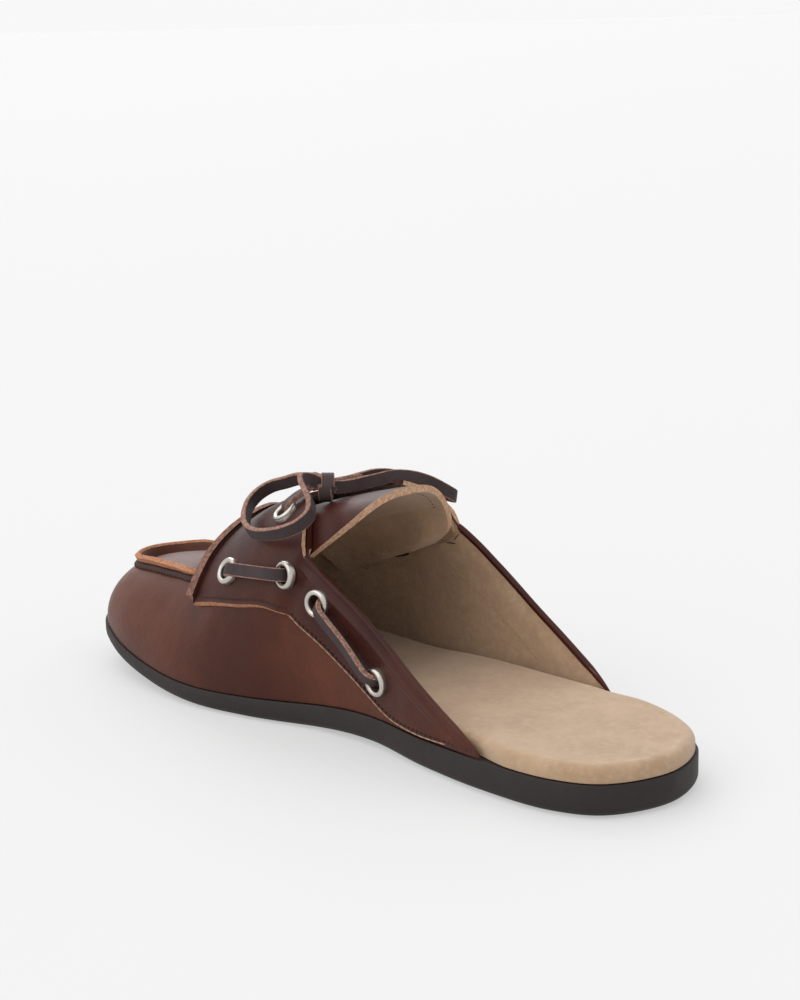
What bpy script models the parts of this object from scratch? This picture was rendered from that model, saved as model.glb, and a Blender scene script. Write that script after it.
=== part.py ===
"""A backless moccasin slipper for the right foot: a boat-shoe mule in leather on a thin rubber sole.

The frame is +X to the toe, +Y to the inner side of the foot, +Z up, in metres. The origin lies on the
floor under the middle of the heel. The sole is a plate between outlines that are set in from the sole's
edge. The upper is one surface of ribs, each of which rises from the sole's edge to the ridge of the
instep. The vamp, the apron, the tongue and the two quarters are parts of that surface, each with the
thickness of its leather.
"""

import math
from collections import namedtuple

import bmesh
import bpy
import numpy as np
from mathutils import Matrix, Vector

for old in list(bpy.data.objects):
    bpy.data.objects.remove(old, do_unlink=True)
PARTS = bpy.data.collections.new("moccasin_mule")
CUTTERS = bpy.data.collections.new("cutters")
for collection in (PARTS, CUTTERS):
    bpy.context.scene.collection.children.link(collection)

# Sole
SOLE_LENGTH = 0.256
BALL_BREADTH = 0.0864
WAIST_BREADTH = 0.0650
HEEL_BREADTH = 0.0686
HEEL_CENTRE = 0.034  # from the back of the sole to the origin
SOLE_AT_HEEL = 0.0102
SOLE_AT_BALL = 0.0071
SOLE_AT_TOE = 0.0060
TOE_SPRING = 0.0118
ARCH_RISE = 0.0012
ARCH_FROM, ARCH_TO = 0.28, 0.56  # stations between which the arch is raised
SPRING_FROM = 0.64  # the station from which the toe springs
SOLE_EDGE_ROUND = 0.0040  # how far the tread is set in from the sole's edge

# Footbed
FOOTBED_AT_HEEL = 0.0052
FOOTBED_AT_TOE = 0.0030
FOOTBED_EDGE_ROUND = 0.0030
FOOTBED_SET_IN = 0.0010
FOOTBED_DISH = 0.0008  # how deep its middle lies under its sides

# Upper
INSTEP_HEIGHT = 0.0800
VAMP_WALL = 0.0020
SADDLE_WALL = 0.0016
APRON_WALL = 0.0018
TONGUE_WALL = 0.0024
LIP_HEIGHT = 0.0026  # the saddle's front edge, turned up
RIM_HEIGHT = 0.0034  # the raw edge that stands up along the moccasin seam
APRON_SUNK = 0.0008  # the apron lies this far below the vamp's surface

# Eyelets and lace
EYELET_OUTER_RADIUS = 0.00475
EYELET_HOLE_RADIUS = 0.0028
EYELET_BARREL_WALL = 0.0004
EYELET_RIM_HEIGHT = 0.0012
LACE_WIDTH = 0.0044
LACE_THICKNESS = 0.0018

UPPER_SET_IN = 0.0008  # from the sole's edge
GAP = 0.0003  # between pieces that touch
SADDLE_LIFT = 2 * GAP + SADDLE_WALL  # the saddle's face over the upper's surface
EYELET_SEAT = 0.0006  # a flat ring stands this far over the curved leather
LACE_SEAT = EYELET_SEAT + EYELET_RIM_HEIGHT + GAP  # a bar lies this far over the saddle, on the eyelets' rims

# Stations at which pieces begin, and how finely the pieces are divided
WING_FROM = 0.195  # the wing's tip
APRON_BACK = 0.665
APRON_BACK_IN = 0.06  # how much nearer to the ridge the apron's back corners lie than the seam
RIM_FROM, RIM_FULL = 0.722, 0.750  # the turned edge rises between these stations, in front of the saddle
LIP_FROM = 9  # the row of the saddle's lower front corner: from it the front edge is turned up
SOLE_STEPS = 30  # from the heel's back to the toe's tip
SOLE_COLUMNS = 5
VAMP_STEPS, VAMP_ROWS_UP = 2, 11
APRON_STEPS, APRON_COLUMNS = 3, 5
SADDLE_STEPS, SADDLE_COLUMNS = 3, 6
TONGUE_STEPS, TONGUE_COLUMNS = 2, 8
EYELET_SIDES = 12
MERGE = 0.00002  # points closer than this are one

# The sole's edge. Each row is a station along the sole, as a share of its length, with the breadth that
# the row follows and how far each side of the axis the edge lies, as shares of that breadth.
Edge = namedtuple("Edge", "along breadth inner outer")
SOLE_EDGE = (
    Edge(0.030, HEEL_BREADTH, 0.315, 0.300),
    Edge(0.090, HEEL_BREADTH, 0.440, 0.445),
    Edge(0.200, HEEL_BREADTH, 0.474, 0.526),
    Edge(0.300, HEEL_BREADTH, 0.450, 0.545),
    Edge(0.400, WAIST_BREADTH, 0.435, 0.568),
    Edge(0.500, WAIST_BREADTH, 0.470, 0.582),
    Edge(0.600, BALL_BREADTH, 0.448, 0.474),
    Edge(0.700, BALL_BREADTH, 0.505, 0.494),
    Edge(0.800, BALL_BREADTH, 0.490, 0.450),
    Edge(0.900, BALL_BREADTH, 0.428, 0.322),
    Edge(0.965, BALL_BREADTH, 0.325, 0.165),
)
TOE_TIP_ASIDE = 0.085  # of the ball's breadth, towards the inner side

# The upper's sections. Along is a share of the sole's length. Ridge is the height over the floor of the
# instep's ridge, as a share of the instep's height. Aside is how far the ridge lies to the inner side, and
# the bulges how far the walls lean out over the sole, as shares of the ball's breadth. Round is 1 for an
# ellipse and less for a squarer section.
Section = namedtuple("Section", "along ridge aside inner_bulge outer_bulge round")
SECTIONS = (
    Section(0.10, 1.120, 0.000, 0.000, 0.000, 0.80),
    Section(0.20, 1.110, 0.000, 0.010, 0.000, 0.80),
    Section(0.33, 1.080, 0.000, 0.030, 0.000, 0.78),
    Section(0.43, 1.030, 0.010, 0.050, 0.000, 0.74),
    Section(0.51, 0.968, 0.020, 0.050, 0.000, 0.77),
    Section(0.59, 0.890, 0.030, 0.026, 0.010, 0.87),
    Section(0.66, 0.805, 0.035, 0.008, 0.010, 1.00),
    Section(0.715, 0.705, 0.035, 0.000, 0.004, 1.08),
    Section(0.76, 0.610, 0.040, 0.000, 0.000, 1.06),
    Section(0.80, 0.548, 0.045, 0.000, 0.000, 1.02),
    Section(0.84, 0.512, 0.050, 0.000, 0.000, 0.98),
    Section(0.88, 0.485, 0.050, 0.000, 0.000, 0.96),
)
FAN_FROM = 0.70  # in front of this station the ribs turn towards the toe
FAN_SHARE = 0.60
RIDGE_HALF = 0.01  # this close to the ridge, the surface faces as the ridge does


def smooth(stations, values, at):
    """A smooth curve through the table's values: cubic pieces, each slope the mean of its neighbours'."""
    stations = np.asarray(stations, float)
    values = np.asarray(values, float)
    at = np.clip(np.asarray(at, float), stations[0], stations[-1])
    slopes = np.gradient(values, stations)
    low = np.clip(np.searchsorted(stations, at, side="right") - 1, 0, len(stations) - 2)
    width = stations[low + 1] - stations[low]
    t = (at - stations[low]) / width
    return (
        values[low] * (1 + 2 * t) * (1 - t) ** 2
        + values[low + 1] * t**2 * (3 - 2 * t)
        + slopes[low] * width * t * (1 - t) ** 2
        - slopes[low + 1] * width * t**2 * (1 - t)
    )


def station(x):
    """The share of the sole's length at x."""
    return (x + HEEL_CENTRE) / SOLE_LENGTH


def at_station(along):
    return along * SOLE_LENGTH - HEEL_CENTRE


Half = namedtuple("Half", "line normal share reach")


def half_edges():
    """The sole's edge as its inner and outer half, each a fine line from the heel's back to the toe's tip
    with its outward normals. Share is how far along the line a point lies. Reach is the angle, as a share
    of a right angle, whose sine is the point's station."""
    inner = [(at_station(e.along), e.inner * e.breadth) for e in SOLE_EDGE]
    outer = [(at_station(e.along), -e.outer * e.breadth) for e in SOLE_EDGE]
    heel = (at_station(0.0), 0.0)
    toe = (at_station(1.0), TOE_TIP_ASIDE * BALL_BREADTH)
    loop = np.array([heel, *inner, toe, *outer[::-1]])
    run = np.concatenate([loop, loop, loop, loop[:1]])
    steps = np.linalg.norm(np.diff(run, axis=0), axis=1) ** 0.5
    length = np.concatenate([[0.0], np.cumsum(steps)])
    n = len(loop)
    fine = np.linspace(length[n // 2], length[n // 2 + n], 2401)
    line = np.stack([smooth(length, run[:, 0], fine), smooth(length, run[:, 1], fine)], 1)
    back, front = int(np.argmin(line[:, 0])), int(np.argmax(line[:, 0]))
    line = np.roll(line[:-1], -back, axis=0)
    front = (front - back) % len(line)
    line = np.concatenate([line, line[:1]])
    ahead = np.gradient(np.concatenate([line[-2:-1], line, line[1:2]]), axis=0)[1:-1]
    normal = np.stack([-ahead[:, 1], ahead[:, 0]], 1)
    normal /= np.linalg.norm(normal, axis=1)[:, None]
    halves = []
    for points, out in ((line[: front + 1], normal[: front + 1]), (line[front:][::-1], normal[front:][::-1])):
        run = np.concatenate([[0], np.cumsum(np.linalg.norm(np.diff(points, axis=0), axis=1))])
        along = (points[:, 0] - points[0, 0]) / (points[-1, 0] - points[0, 0])
        reach = np.arcsin(np.clip(np.maximum.accumulate(along), 0, 1)) * 2 / math.pi
        halves.append(Half(points, out, run / run[-1], reach))
    return halves


INNER, OUTER = 0, 1  # the side of the foot: the inner side is +Y
HALF_EDGES = half_edges()


def edge_point(side, along_line, at, set_in=0.0):
    """Points of the sole's edge, set in towards the middle. Along_line names the measure that at gives,
    share or reach."""
    half = HALF_EDGES[side]
    measure = getattr(half, along_line)
    point = np.stack([np.interp(at, measure, half.line[:, k]) for k in (0, 1)], -1)
    out = np.stack([np.interp(at, measure, half.normal[:, k]) for k in (0, 1)], -1)
    return point - out * np.asarray(set_in)[..., None]


def reach_of(along):
    return np.arcsin(np.clip(along, 0, 1)) * 2 / math.pi


def tread_height(x):
    """The underside of the sole: flat at the heel and the ball, raised at the arch and the toe."""
    along = station(x)
    arch = np.clip((along - ARCH_FROM) / (ARCH_TO - ARCH_FROM), 0, 1)
    spring = np.clip((along - SPRING_FROM) / (1 - SPRING_FROM), 0, 1)
    return ARCH_RISE * np.sin(math.pi * arch) ** 2 + TOE_SPRING * spring**2


def sole_top(x):
    """The top face of the outsole."""
    thickness = smooth(
        (0.0, 0.25, 0.45, 0.65, 1.0),
        (SOLE_AT_HEEL, SOLE_AT_HEEL, (SOLE_AT_HEEL + SOLE_AT_BALL) / 2, SOLE_AT_BALL, SOLE_AT_TOE),
        station(x),
    )
    return tread_height(x) + thickness


def new_mesh(name, points, faces):
    """A mesh object with its faces turned outwards."""
    mesh = bpy.data.meshes.new(name)
    mesh.from_pydata([tuple(map(float, p)) for p in points], [], faces)
    shape = bmesh.new()
    shape.from_mesh(mesh)
    bmesh.ops.recalc_face_normals(shape, faces=shape.faces)
    shape.to_mesh(mesh)
    shape.free()
    obj = bpy.data.objects.new(name, mesh)
    PARTS.objects.link(obj)
    mesh.shade_smooth()
    mesh.set_sharp_from_angle(angle=math.radians(40))
    return obj


def plate(name, levels):
    """A solid stacked from outlines. Each level has its distance in from the sole's edge and its height,
    both functions, and the height takes x and how far across the sole the point lies, 0 to 1."""
    shares = 0.5 - 0.5 * np.cos(np.pi * np.linspace(0, 1, SOLE_STEPS + 1))
    shares = 0.6 * shares + 0.4 * np.linspace(0, 1, SOLE_STEPS + 1)
    points, faces = [], []
    ring = 2 * SOLE_STEPS
    for set_in, height in levels:
        inner = edge_point(INNER, "share", shares, set_in(edge_point(INNER, "share", shares)[:, 0]))
        outer = edge_point(OUTER, "share", shares, set_in(edge_point(OUTER, "share", shares)[:, 0]))
        loop = np.concatenate([inner, outer[-2:0:-1]])
        across = np.concatenate([np.zeros(SOLE_STEPS + 1), np.ones(SOLE_STEPS - 1)])
        points += [(x, y, height(x, a)) for (x, y), a in zip(loop, across)]
    for level in range(len(levels) - 1):
        low, high = level * ring, (level + 1) * ring
        for i in range(ring):
            j = (i + 1) % ring
            faces.append((low + i, low + j, high + j, high + i))
    for level in (0, len(levels) - 1):
        first = level * ring
        rows = [[first] * (SOLE_COLUMNS + 1)]
        for i in range(1, SOLE_STEPS):
            start, end = first + i, first + ring - i
            row = [start]
            for c in range(1, SOLE_COLUMNS):
                share = c / SOLE_COLUMNS
                x, y = np.array(points[start])[:2] * (1 - share) + np.array(points[end])[:2] * share
                points.append((x, y, levels[level][1](x, share)))
                row.append(len(points) - 1)
            rows.append([*row, end])
        rows.append([first + SOLE_STEPS] * (SOLE_COLUMNS + 1))
        for near, far in zip(rows, rows[1:]):
            for c in range(SOLE_COLUMNS):
                corners = [near[c], near[c + 1], far[c + 1], far[c]]
                faces.append(tuple(dict.fromkeys(corners)))
    return new_mesh(name, points, faces)


def outsole():
    """The rubber sole: a tread set in from its edge, a rounded side and a flat top."""
    r = SOLE_EDGE_ROUND
    steps = [(math.radians(a)) for a in (0, 30, 60, 90)]
    levels = []
    for a in steps:
        set_in = r * (1 - math.sin(a))
        up = 0.75 * r * (1 - math.cos(a))
        levels.append((lambda x, s=set_in: np.full_like(x, s), lambda x, a, u=up: tread_height(x) + u))
    levels.append((lambda x: np.zeros_like(x), lambda x, a: sole_top(x)))
    return plate("outsole", levels)


def footbed_set_in(x):
    """Close to the sole's edge round the heel, and inside the vamp from the wings forward."""
    inside = UPPER_SET_IN + VAMP_WALL + 3 * GAP
    blend = np.clip((station(x) - WING_FROM + 0.05) / 0.07, 0, 1)
    return FOOTBED_SET_IN + (inside - FOOTBED_SET_IN) * blend * blend * (3 - 2 * blend)


def footbed_thickness(x):
    return smooth(
        (0.0, 0.3, 0.6, 1.0),
        (FOOTBED_AT_HEEL, FOOTBED_AT_HEEL, (FOOTBED_AT_HEEL + FOOTBED_AT_TOE) / 2, FOOTBED_AT_TOE),
        station(x),
    )


def footbed():
    """The padded footbed: a plate with a rounded upper edge and a shallow dish."""
    levels = [(footbed_set_in, lambda x, a: sole_top(x) + GAP)]
    for degrees in (0, 30, 60, 90):
        turn = math.radians(degrees)
        r = FOOTBED_EDGE_ROUND

        def set_in(x, turn=turn, r=r):
            return footbed_set_in(x) + r * (1 - math.cos(turn))

        def height(x, across, turn=turn, r=r):
            round_height = np.minimum(r, 0.8 * footbed_thickness(x))
            top = sole_top(x) + GAP + footbed_thickness(x)
            dish = FOOTBED_DISH * math.sin(math.pi * across) if turn > 1.5 else 0.0
            return top - round_height * (1 - math.sin(turn)) - dish

        levels.append((set_in, height))
    return plate("footbed", levels)


def ridge_station(along):
    """The station at which the rib from a station of the sole's edge meets the ridge."""
    beyond = np.clip(along - FAN_FROM, 0, None)
    return along - (1 - FAN_SHARE) * beyond**2 / (1 - FAN_FROM)


def rib(side, reach, up):
    """Points of the upper's surface. A rib rises from the sole's edge to the ridge of the instep as a
    squared quarter ellipse, and up is how far it has turned, from 0 at the sole to 1 at the ridge."""
    base = edge_point(side, "reach", reach, UPPER_SET_IN)
    ridge_along = ridge_station(np.sin(reach * math.pi / 2))

    def column(name):
        return smooth([s.along for s in SECTIONS], [getattr(s, name) for s in SECTIONS], ridge_along)

    ridge = np.stack([at_station(ridge_along), column("aside") * BALL_BREADTH], -1)
    foot = sole_top(base[..., 0]) + GAP
    top = column("ridge") * INSTEP_HEIGHT
    turn = np.clip(up, 0, 1) * math.pi / 2
    power = column("round")
    inwards = 1 - np.cos(turn).clip(0) ** power
    height = foot + (top - foot) * np.sin(turn).clip(0) ** power
    bulge = column("outer_bulge" if side == OUTER else "inner_bulge") * BALL_BREADTH * np.sin(2 * turn)
    span = ridge - base
    away = span / np.linalg.norm(span, axis=-1, keepdims=True)
    plan = base + span * inwards[..., None] - away * bulge[..., None]
    return np.concatenate([plan, height[..., None]], -1)


def upper(along, around, lift=0.0):
    """Points of the upper's surface on both sides: around is 1 at the sole's inner edge, 0 on the ridge and
    -1 at its outer edge. Lift moves them along the surface's normal."""
    reach, around = np.broadcast_arrays(reach_of(along), np.asarray(around, float))

    def place(reach, around):
        up = 1 - np.abs(around)
        inner, outer = (rib(side, np.clip(reach, 0, 1), up) for side in (INNER, OUTER))
        return np.where((around >= 0)[..., None], inner, outer)

    step = 0.004
    ahead = place(reach + step, around) - place(reach - step, around)
    across = place(reach, np.clip(around + step, -1, 1)) - place(reach, np.clip(around - step, -1, 1))
    normal = np.cross(ahead, across)
    ridge_along = ridge_station(np.sin(reach * math.pi / 2))
    heights = [s.ridge * INSTEP_HEIGHT for s in SECTIONS]
    rise = [smooth([s.along for s in SECTIONS], heights, ridge_along + d) for d in (-0.01, 0.01)]
    slope = (rise[1] - rise[0]) / (0.02 * SOLE_LENGTH)
    on_ridge = np.stack([-slope, np.zeros_like(slope), np.ones_like(slope)], -1)
    normal = np.where((np.abs(around) < RIDGE_HALF)[..., None], on_ridge, normal)
    normal /= np.linalg.norm(normal, axis=-1, keepdims=True)
    return place(reach, around) + normal * np.asarray(lift)[..., None]


def moved(along, around, distance):
    """The place on the surface a distance further from the ridge, down the same rib."""
    step = 0.01
    around = np.asarray(around, float)
    side = np.where(around < 0, -1.0, 1.0)
    run = np.linalg.norm(upper(along, around + step) - upper(along, around - step), axis=-1)
    return around + side * distance * 2 * step / run


def frame_on(along, around, lift=0.0):
    """A point on the upper and the surface's normal there."""
    point = upper(along, around, lift)
    out = upper(along, around, lift + 0.001) - point
    return Vector(point.tolist()), Vector(out.tolist()).normalized()


def spread(rows, steps):
    """A table filled in between its rows, each span in a number of steps. Stations are spaced by reach."""
    table = np.array(rows, float)
    at = np.linspace(0, len(table) - 1, (len(table) - 1) * steps + 1)
    return np.stack([np.interp(at, np.arange(len(table)), column) for column in table.T], 1)


def leather(name, outer, inner, material):
    """A leather piece between two grids of points, its outer and inner face. Points of the outer face that
    meet, as along a ridge, are one."""
    rows, columns = outer.shape[:2]
    places, first, index = np.unique(
        np.round(outer.reshape(-1, 3) / MERGE).astype(int), axis=0, return_index=True, return_inverse=True
    )
    index = index.reshape(rows, columns)
    count = len(places)
    points = np.concatenate([outer.reshape(-1, 3)[first], inner.reshape(-1, 3)[first]])
    faces = []
    for i in range(rows - 1):
        for j in range(columns - 1):
            corners = [index[i, j], index[i + 1, j], index[i + 1, j + 1], index[i, j + 1]]
            corners = [int(c) for c in dict.fromkeys(corners)]
            if len(corners) > 2:
                faces.append(corners)
    edges = {(a, b) for face in faces for a, b in zip(face, face[1:] + face[:1])}
    rim = [(b, a, a + count, b + count) for a, b in edges if (b, a) not in edges]
    faces += [[c + count for c in reversed(face)] for face in faces] + sorted(rim)
    obj = new_mesh(name, points, faces)
    obj.data.materials.append(material)
    return obj


def onward(along, around, along_step, around_step):
    """The way along the surface in which a step of the station, or of the way around, goes."""
    way = upper(along + along_step, around + around_step) - upper(along - along_step, around - around_step)
    return way / np.linalg.norm(way, axis=-1, keepdims=True)


def finish(name, color, roughness, metallic=0.0):
    made = bpy.data.materials.new(name)
    made.use_nodes = True
    surface = made.node_tree.nodes["Principled BSDF"]
    surface.inputs["Base Color"].default_value = (*color, 1)
    surface.inputs["Roughness"].default_value = roughness
    surface.inputs["Metallic"].default_value = metallic
    return made


BROWN = finish("brown leather", (0.075, 0.022, 0.012), 0.4)
SUEDE = finish("tan suede", (0.38, 0.26, 0.16), 0.95)
RUBBER = finish("dark brown rubber", (0.018, 0.010, 0.008), 0.7)
NICKEL = finish("satin nickel", (0.60, 0.58, 0.54), 0.35, 1.0)
THONG = finish("lace leather", (0.060, 0.030, 0.024), 0.6)

# The moccasin seam, where the apron's turned edge meets the vamp: how far round each side it lies.
Seam = namedtuple("Seam", "along inner outer")
SEAM = (
    Seam(0.700, 0.460, 0.460),
    Seam(0.750, 0.420, 0.420),
    Seam(0.800, 0.360, 0.370),
    Seam(0.850, 0.330, 0.340),
    Seam(0.900, 0.325, 0.335),
    Seam(0.950, 0.355, 0.360),
    Seam(0.985, 0.395, 0.395),
    Seam(1.000, 0.410, 0.410),
)
# The vamp's upper edge behind the seam: the collar, the corner of the facing, and the edge under the saddle.
# Foot is the station at which the same rib leaves the sole.
Top = namedtuple("Top", "foot along around")
VAMP_INNER = (
    Top(0.195, 0.197, 0.975),
    Top(0.250, 0.250, 0.952),
    Top(0.290, 0.290, 0.917),
    Top(0.332, 0.332, 0.872),
    Top(0.385, 0.385, 0.803),
    Top(0.440, 0.434, 0.728),
    Top(0.505, 0.503, 0.560),
    Top(0.530, 0.515, 0.434),
    Top(0.560, 0.542, 0.230),
    Top(0.610, 0.600, 0.300),
    Top(0.660, 0.655, 0.470),
)
VAMP_OUTER = (
    Top(0.220, 0.222, 0.975),
    Top(0.250, 0.250, 0.958),
    Top(0.281, 0.281, 0.934),
    Top(0.310, 0.310, 0.900),
    Top(0.348, 0.348, 0.850),
    Top(0.405, 0.405, 0.745),
    Top(0.465, 0.463, 0.584),
    Top(0.500, 0.480, 0.445),
    Top(0.545, 0.515, 0.240),
    Top(0.600, 0.595, 0.300),
    Top(0.655, 0.655, 0.470),
)


def vamp():
    """The vamp from wing to wing around the toe, between the sole and the collar or the seam."""
    margin = APRON_WALL + 3 * GAP  # more than the gap, as the surface curves
    rows = []
    for tops, side, sign in ((VAMP_INNER, "inner", 1), (VAMP_OUTER, "outer", -1)):
        half = [(reach_of(t.foot), reach_of(t.along), t.around) for t in tops]
        for s in SEAM:
            around = float(moved(s.along, getattr(s, side), margin))
            half.append((reach_of(s.along), reach_of(s.along), around))
        rows.append(spread(half, VAMP_STEPS) * (1, 1, sign))
    inner, outer = rows
    table = np.concatenate([inner, outer[-2::-1]])
    share = np.linspace(0, 1, VAMP_ROWS_UP + 1)[None]
    reach = table[:, :1] * (1 - share) + table[:, 1:2] * share
    sign = np.sign(table[:, 2:])
    around = sign * (1 - share) + table[:, 2:] * share
    along = np.sin(reach * math.pi / 2)
    return leather("vamp", upper(along, around), upper(along, around, -VAMP_WALL), BROWN)


def apron():
    """The apron inside the moccasin seam, with its edge turned up. It runs back under the saddle, flat."""
    ahead = [(reach_of(s.along), s.inner, s.outer) for s in SEAM]
    back = (reach_of(APRON_BACK), SEAM[0].inner - APRON_BACK_IN, SEAM[0].outer - APRON_BACK_IN)
    table = spread([back, *ahead], APRON_STEPS)
    share = np.linspace(0, 1, APRON_COLUMNS + 1)[None]
    along = np.sin(table[:, :1] * math.pi / 2)
    rise = np.clip((along - RIM_FROM) / (RIM_FULL - RIM_FROM), 0, 1)
    rim_lift = (RIM_HEIGHT - APRON_SUNK / 2) * rise * rise * (3 - 2 * rise) - APRON_SUNK / 2
    halves = []
    for column, sign in ((1, 1), (2, -1)):
        seam = sign * table[:, column : column + 1]
        around = seam * (1 - share)
        fold = upper(along, seam, -APRON_SUNK - APRON_WALL)
        outwards = onward(along, seam, 0.0, sign * 0.004) * APRON_WALL * rise[..., None]
        rim = upper(along, seam, rim_lift)
        back_of_rim = upper(along, seam, rim_lift - APRON_WALL * (1 - rise)) + outwards
        top = np.concatenate([rim, upper(along, around, -APRON_SUNK)], 1)
        under = upper(along, around[:, 1:], -APRON_SUNK - APRON_WALL)
        halves.append((top, np.concatenate([back_of_rim, fold + outwards, under], 1)))
    top, under = (np.concatenate([halves[0][k], halves[1][k][-2::-1]]) for k in (0, 1))
    return leather("apron", top, under, BROWN)


# The saddle: a band that runs from one wing over the instep to the other. Each row crosses it from its
# lower or front edge to the collar or the throat.
Band = namedtuple("Band", "edge_along edge_around throat_along throat_around")
SADDLE_INNER = (
    Band(0.200, 0.992, 0.197, 0.968),
    Band(0.280, 0.985, 0.270, 0.936),
    Band(0.375, 0.972, 0.340, 0.862),
    Band(0.440, 0.925, 0.400, 0.781),
    Band(0.492, 0.845, 0.460, 0.670),
    Band(0.524, 0.772, 0.505, 0.552),
    Band(0.565, 0.725, 0.517, 0.424),
    Band(0.610, 0.700, 0.544, 0.205),
    Band(0.660, 0.665, 0.562, 0.165),
    Band(0.701, 0.640, 0.580, 0.130),
    Band(0.703, 0.500, 0.597, 0.098),
    Band(0.706, 0.370, 0.612, 0.066),
    Band(0.700, 0.200, 0.628, 0.033),
)
SADDLE_RIDGE = Band(0.688, 0.000, 0.640, 0.000)
SADDLE_OUTER = (
    Band(0.223, 0.992, 0.221, 0.970),
    Band(0.290, 0.985, 0.281, 0.928),
    Band(0.370, 0.960, 0.348, 0.842),
    Band(0.430, 0.905, 0.405, 0.740),
    Band(0.475, 0.830, 0.437, 0.660),
    Band(0.505, 0.760, 0.465, 0.574),
    Band(0.550, 0.728, 0.482, 0.430),
    Band(0.600, 0.700, 0.515, 0.210),
    Band(0.655, 0.665, 0.545, 0.170),
    Band(0.695, 0.640, 0.570, 0.135),
    Band(0.698, 0.500, 0.592, 0.100),
    Band(0.701, 0.370, 0.610, 0.066),
    Band(0.698, 0.200, 0.628, 0.033),
)


def saddle():
    """The saddle with its wings and facings, one layer over the vamp. Its front edge is turned up."""
    inner = spread([*SADDLE_INNER, SADDLE_RIDGE], SADDLE_STEPS)
    outer = spread([*SADDLE_OUTER, SADDLE_RIDGE], SADDLE_STEPS) * (1, -1, 1, -1)
    table = np.concatenate([inner, outer[-2::-1]])
    row = np.arange(len(table), dtype=float)
    from_wing = np.minimum(row, row[::-1]) / SADDLE_STEPS
    turned_up = np.clip((from_wing - LIP_FROM) * 1.5, 0, 1)[:, None]
    share = np.linspace(0, 1, SADDLE_COLUMNS + 1)[None]
    along = table[:, :1] * (1 - share) + table[:, 2:3] * share
    around = table[:, 1:2] * (1 - share) + table[:, 3:] * share
    edge_along, edge_around = along[:, :1], around[:, :1]
    forward = onward(edge_along, edge_around, 0.002, 0.0) * SADDLE_WALL * turned_up[..., None]
    lip_lift = SADDLE_LIFT + LIP_HEIGHT * turned_up
    lip = upper(edge_along, edge_around, lip_lift)
    front_of_lip = upper(edge_along, edge_around, lip_lift - SADDLE_WALL * (1 - turned_up)) + forward
    fold = upper(edge_along, edge_around, SADDLE_LIFT - SADDLE_WALL) + forward
    face = upper(along, around, SADDLE_LIFT)
    under = upper(along[:, 1:], around[:, 1:], SADDLE_LIFT - SADDLE_WALL)
    outer_face = np.concatenate([lip, face], 1)
    return leather("saddle", outer_face, np.concatenate([front_of_lip, fold, under], 1), BROWN)


# The tongue under the facings: its rounded end and its front edge, across from side to side.
Tongue = namedtuple("Tongue", "around end front")
TONGUE = (
    Tongue(0.520, 0.505, 0.620),
    Tongue(0.440, 0.478, 0.635),
    Tongue(0.330, 0.455, 0.645),
    Tongue(0.200, 0.444, 0.652),
    Tongue(0.060, 0.440, 0.655),
    Tongue(-0.080, 0.440, 0.655),
    Tongue(-0.220, 0.446, 0.652),
    Tongue(-0.350, 0.452, 0.645),
    Tongue(-0.450, 0.460, 0.635),
    Tongue(-0.530, 0.474, 0.620),
)


def tongue():
    """The tongue under the facings, one wall on the upper's surface."""
    table = spread(TONGUE, TONGUE_STEPS)
    share = np.linspace(0, 1, TONGUE_COLUMNS + 1)[None]
    along = table[:, 1:2] * (1 - share) + table[:, 2:] * share
    around = table[:, :1] + 0 * share
    lift = -VAMP_WALL - 2 * GAP
    return leather("tongue", upper(along, around, lift), upper(along, around, lift - TONGUE_WALL), BROWN)


# The eyelets of each side, from the front one of the lower row to the lowest on the wing, then the one
# at the throat that the bow is tied through.
Eyelet = namedtuple("Eyelet", "name along around")
EYELETS = (
    Eyelet("inner_front", 0.638, 0.540),
    Eyelet("inner_corner", 0.527, 0.616),
    Eyelet("inner_collar", 0.472, 0.736),
    Eyelet("inner_wing", 0.371, 0.930),
    Eyelet("inner_throat", 0.573, 0.280),
    Eyelet("outer_front", 0.632, -0.540),
    Eyelet("outer_corner", 0.500, -0.620),
    Eyelet("outer_collar", 0.442, -0.750),
    Eyelet("outer_wing", 0.358, -0.925),
    Eyelet("outer_throat", 0.560, -0.290),
)


def turned(name, profile, place, axis, steps, material):
    """A ring turned from a closed profile of radius and height."""
    mesh = bpy.data.meshes.new(name)
    points = [(r, 0.0, z) for r, z in reversed(profile)]
    mesh.from_pydata(points, [(i, (i + 1) % len(points)) for i in range(len(points))], [])
    obj = bpy.data.objects.new(name, mesh)
    PARTS.objects.link(obj)
    obj.matrix_world = Matrix.Translation(place) @ axis.to_track_quat("Z", "Y").to_matrix().to_4x4()
    turn = obj.modifiers.new("turn", "SCREW")
    turn.steps = turn.render_steps = steps
    turn.use_merge_vertices = True
    turn.merge_threshold = 0.00001
    turn.use_normal_calculate = True
    mesh.materials.append(material)
    return obj


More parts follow.
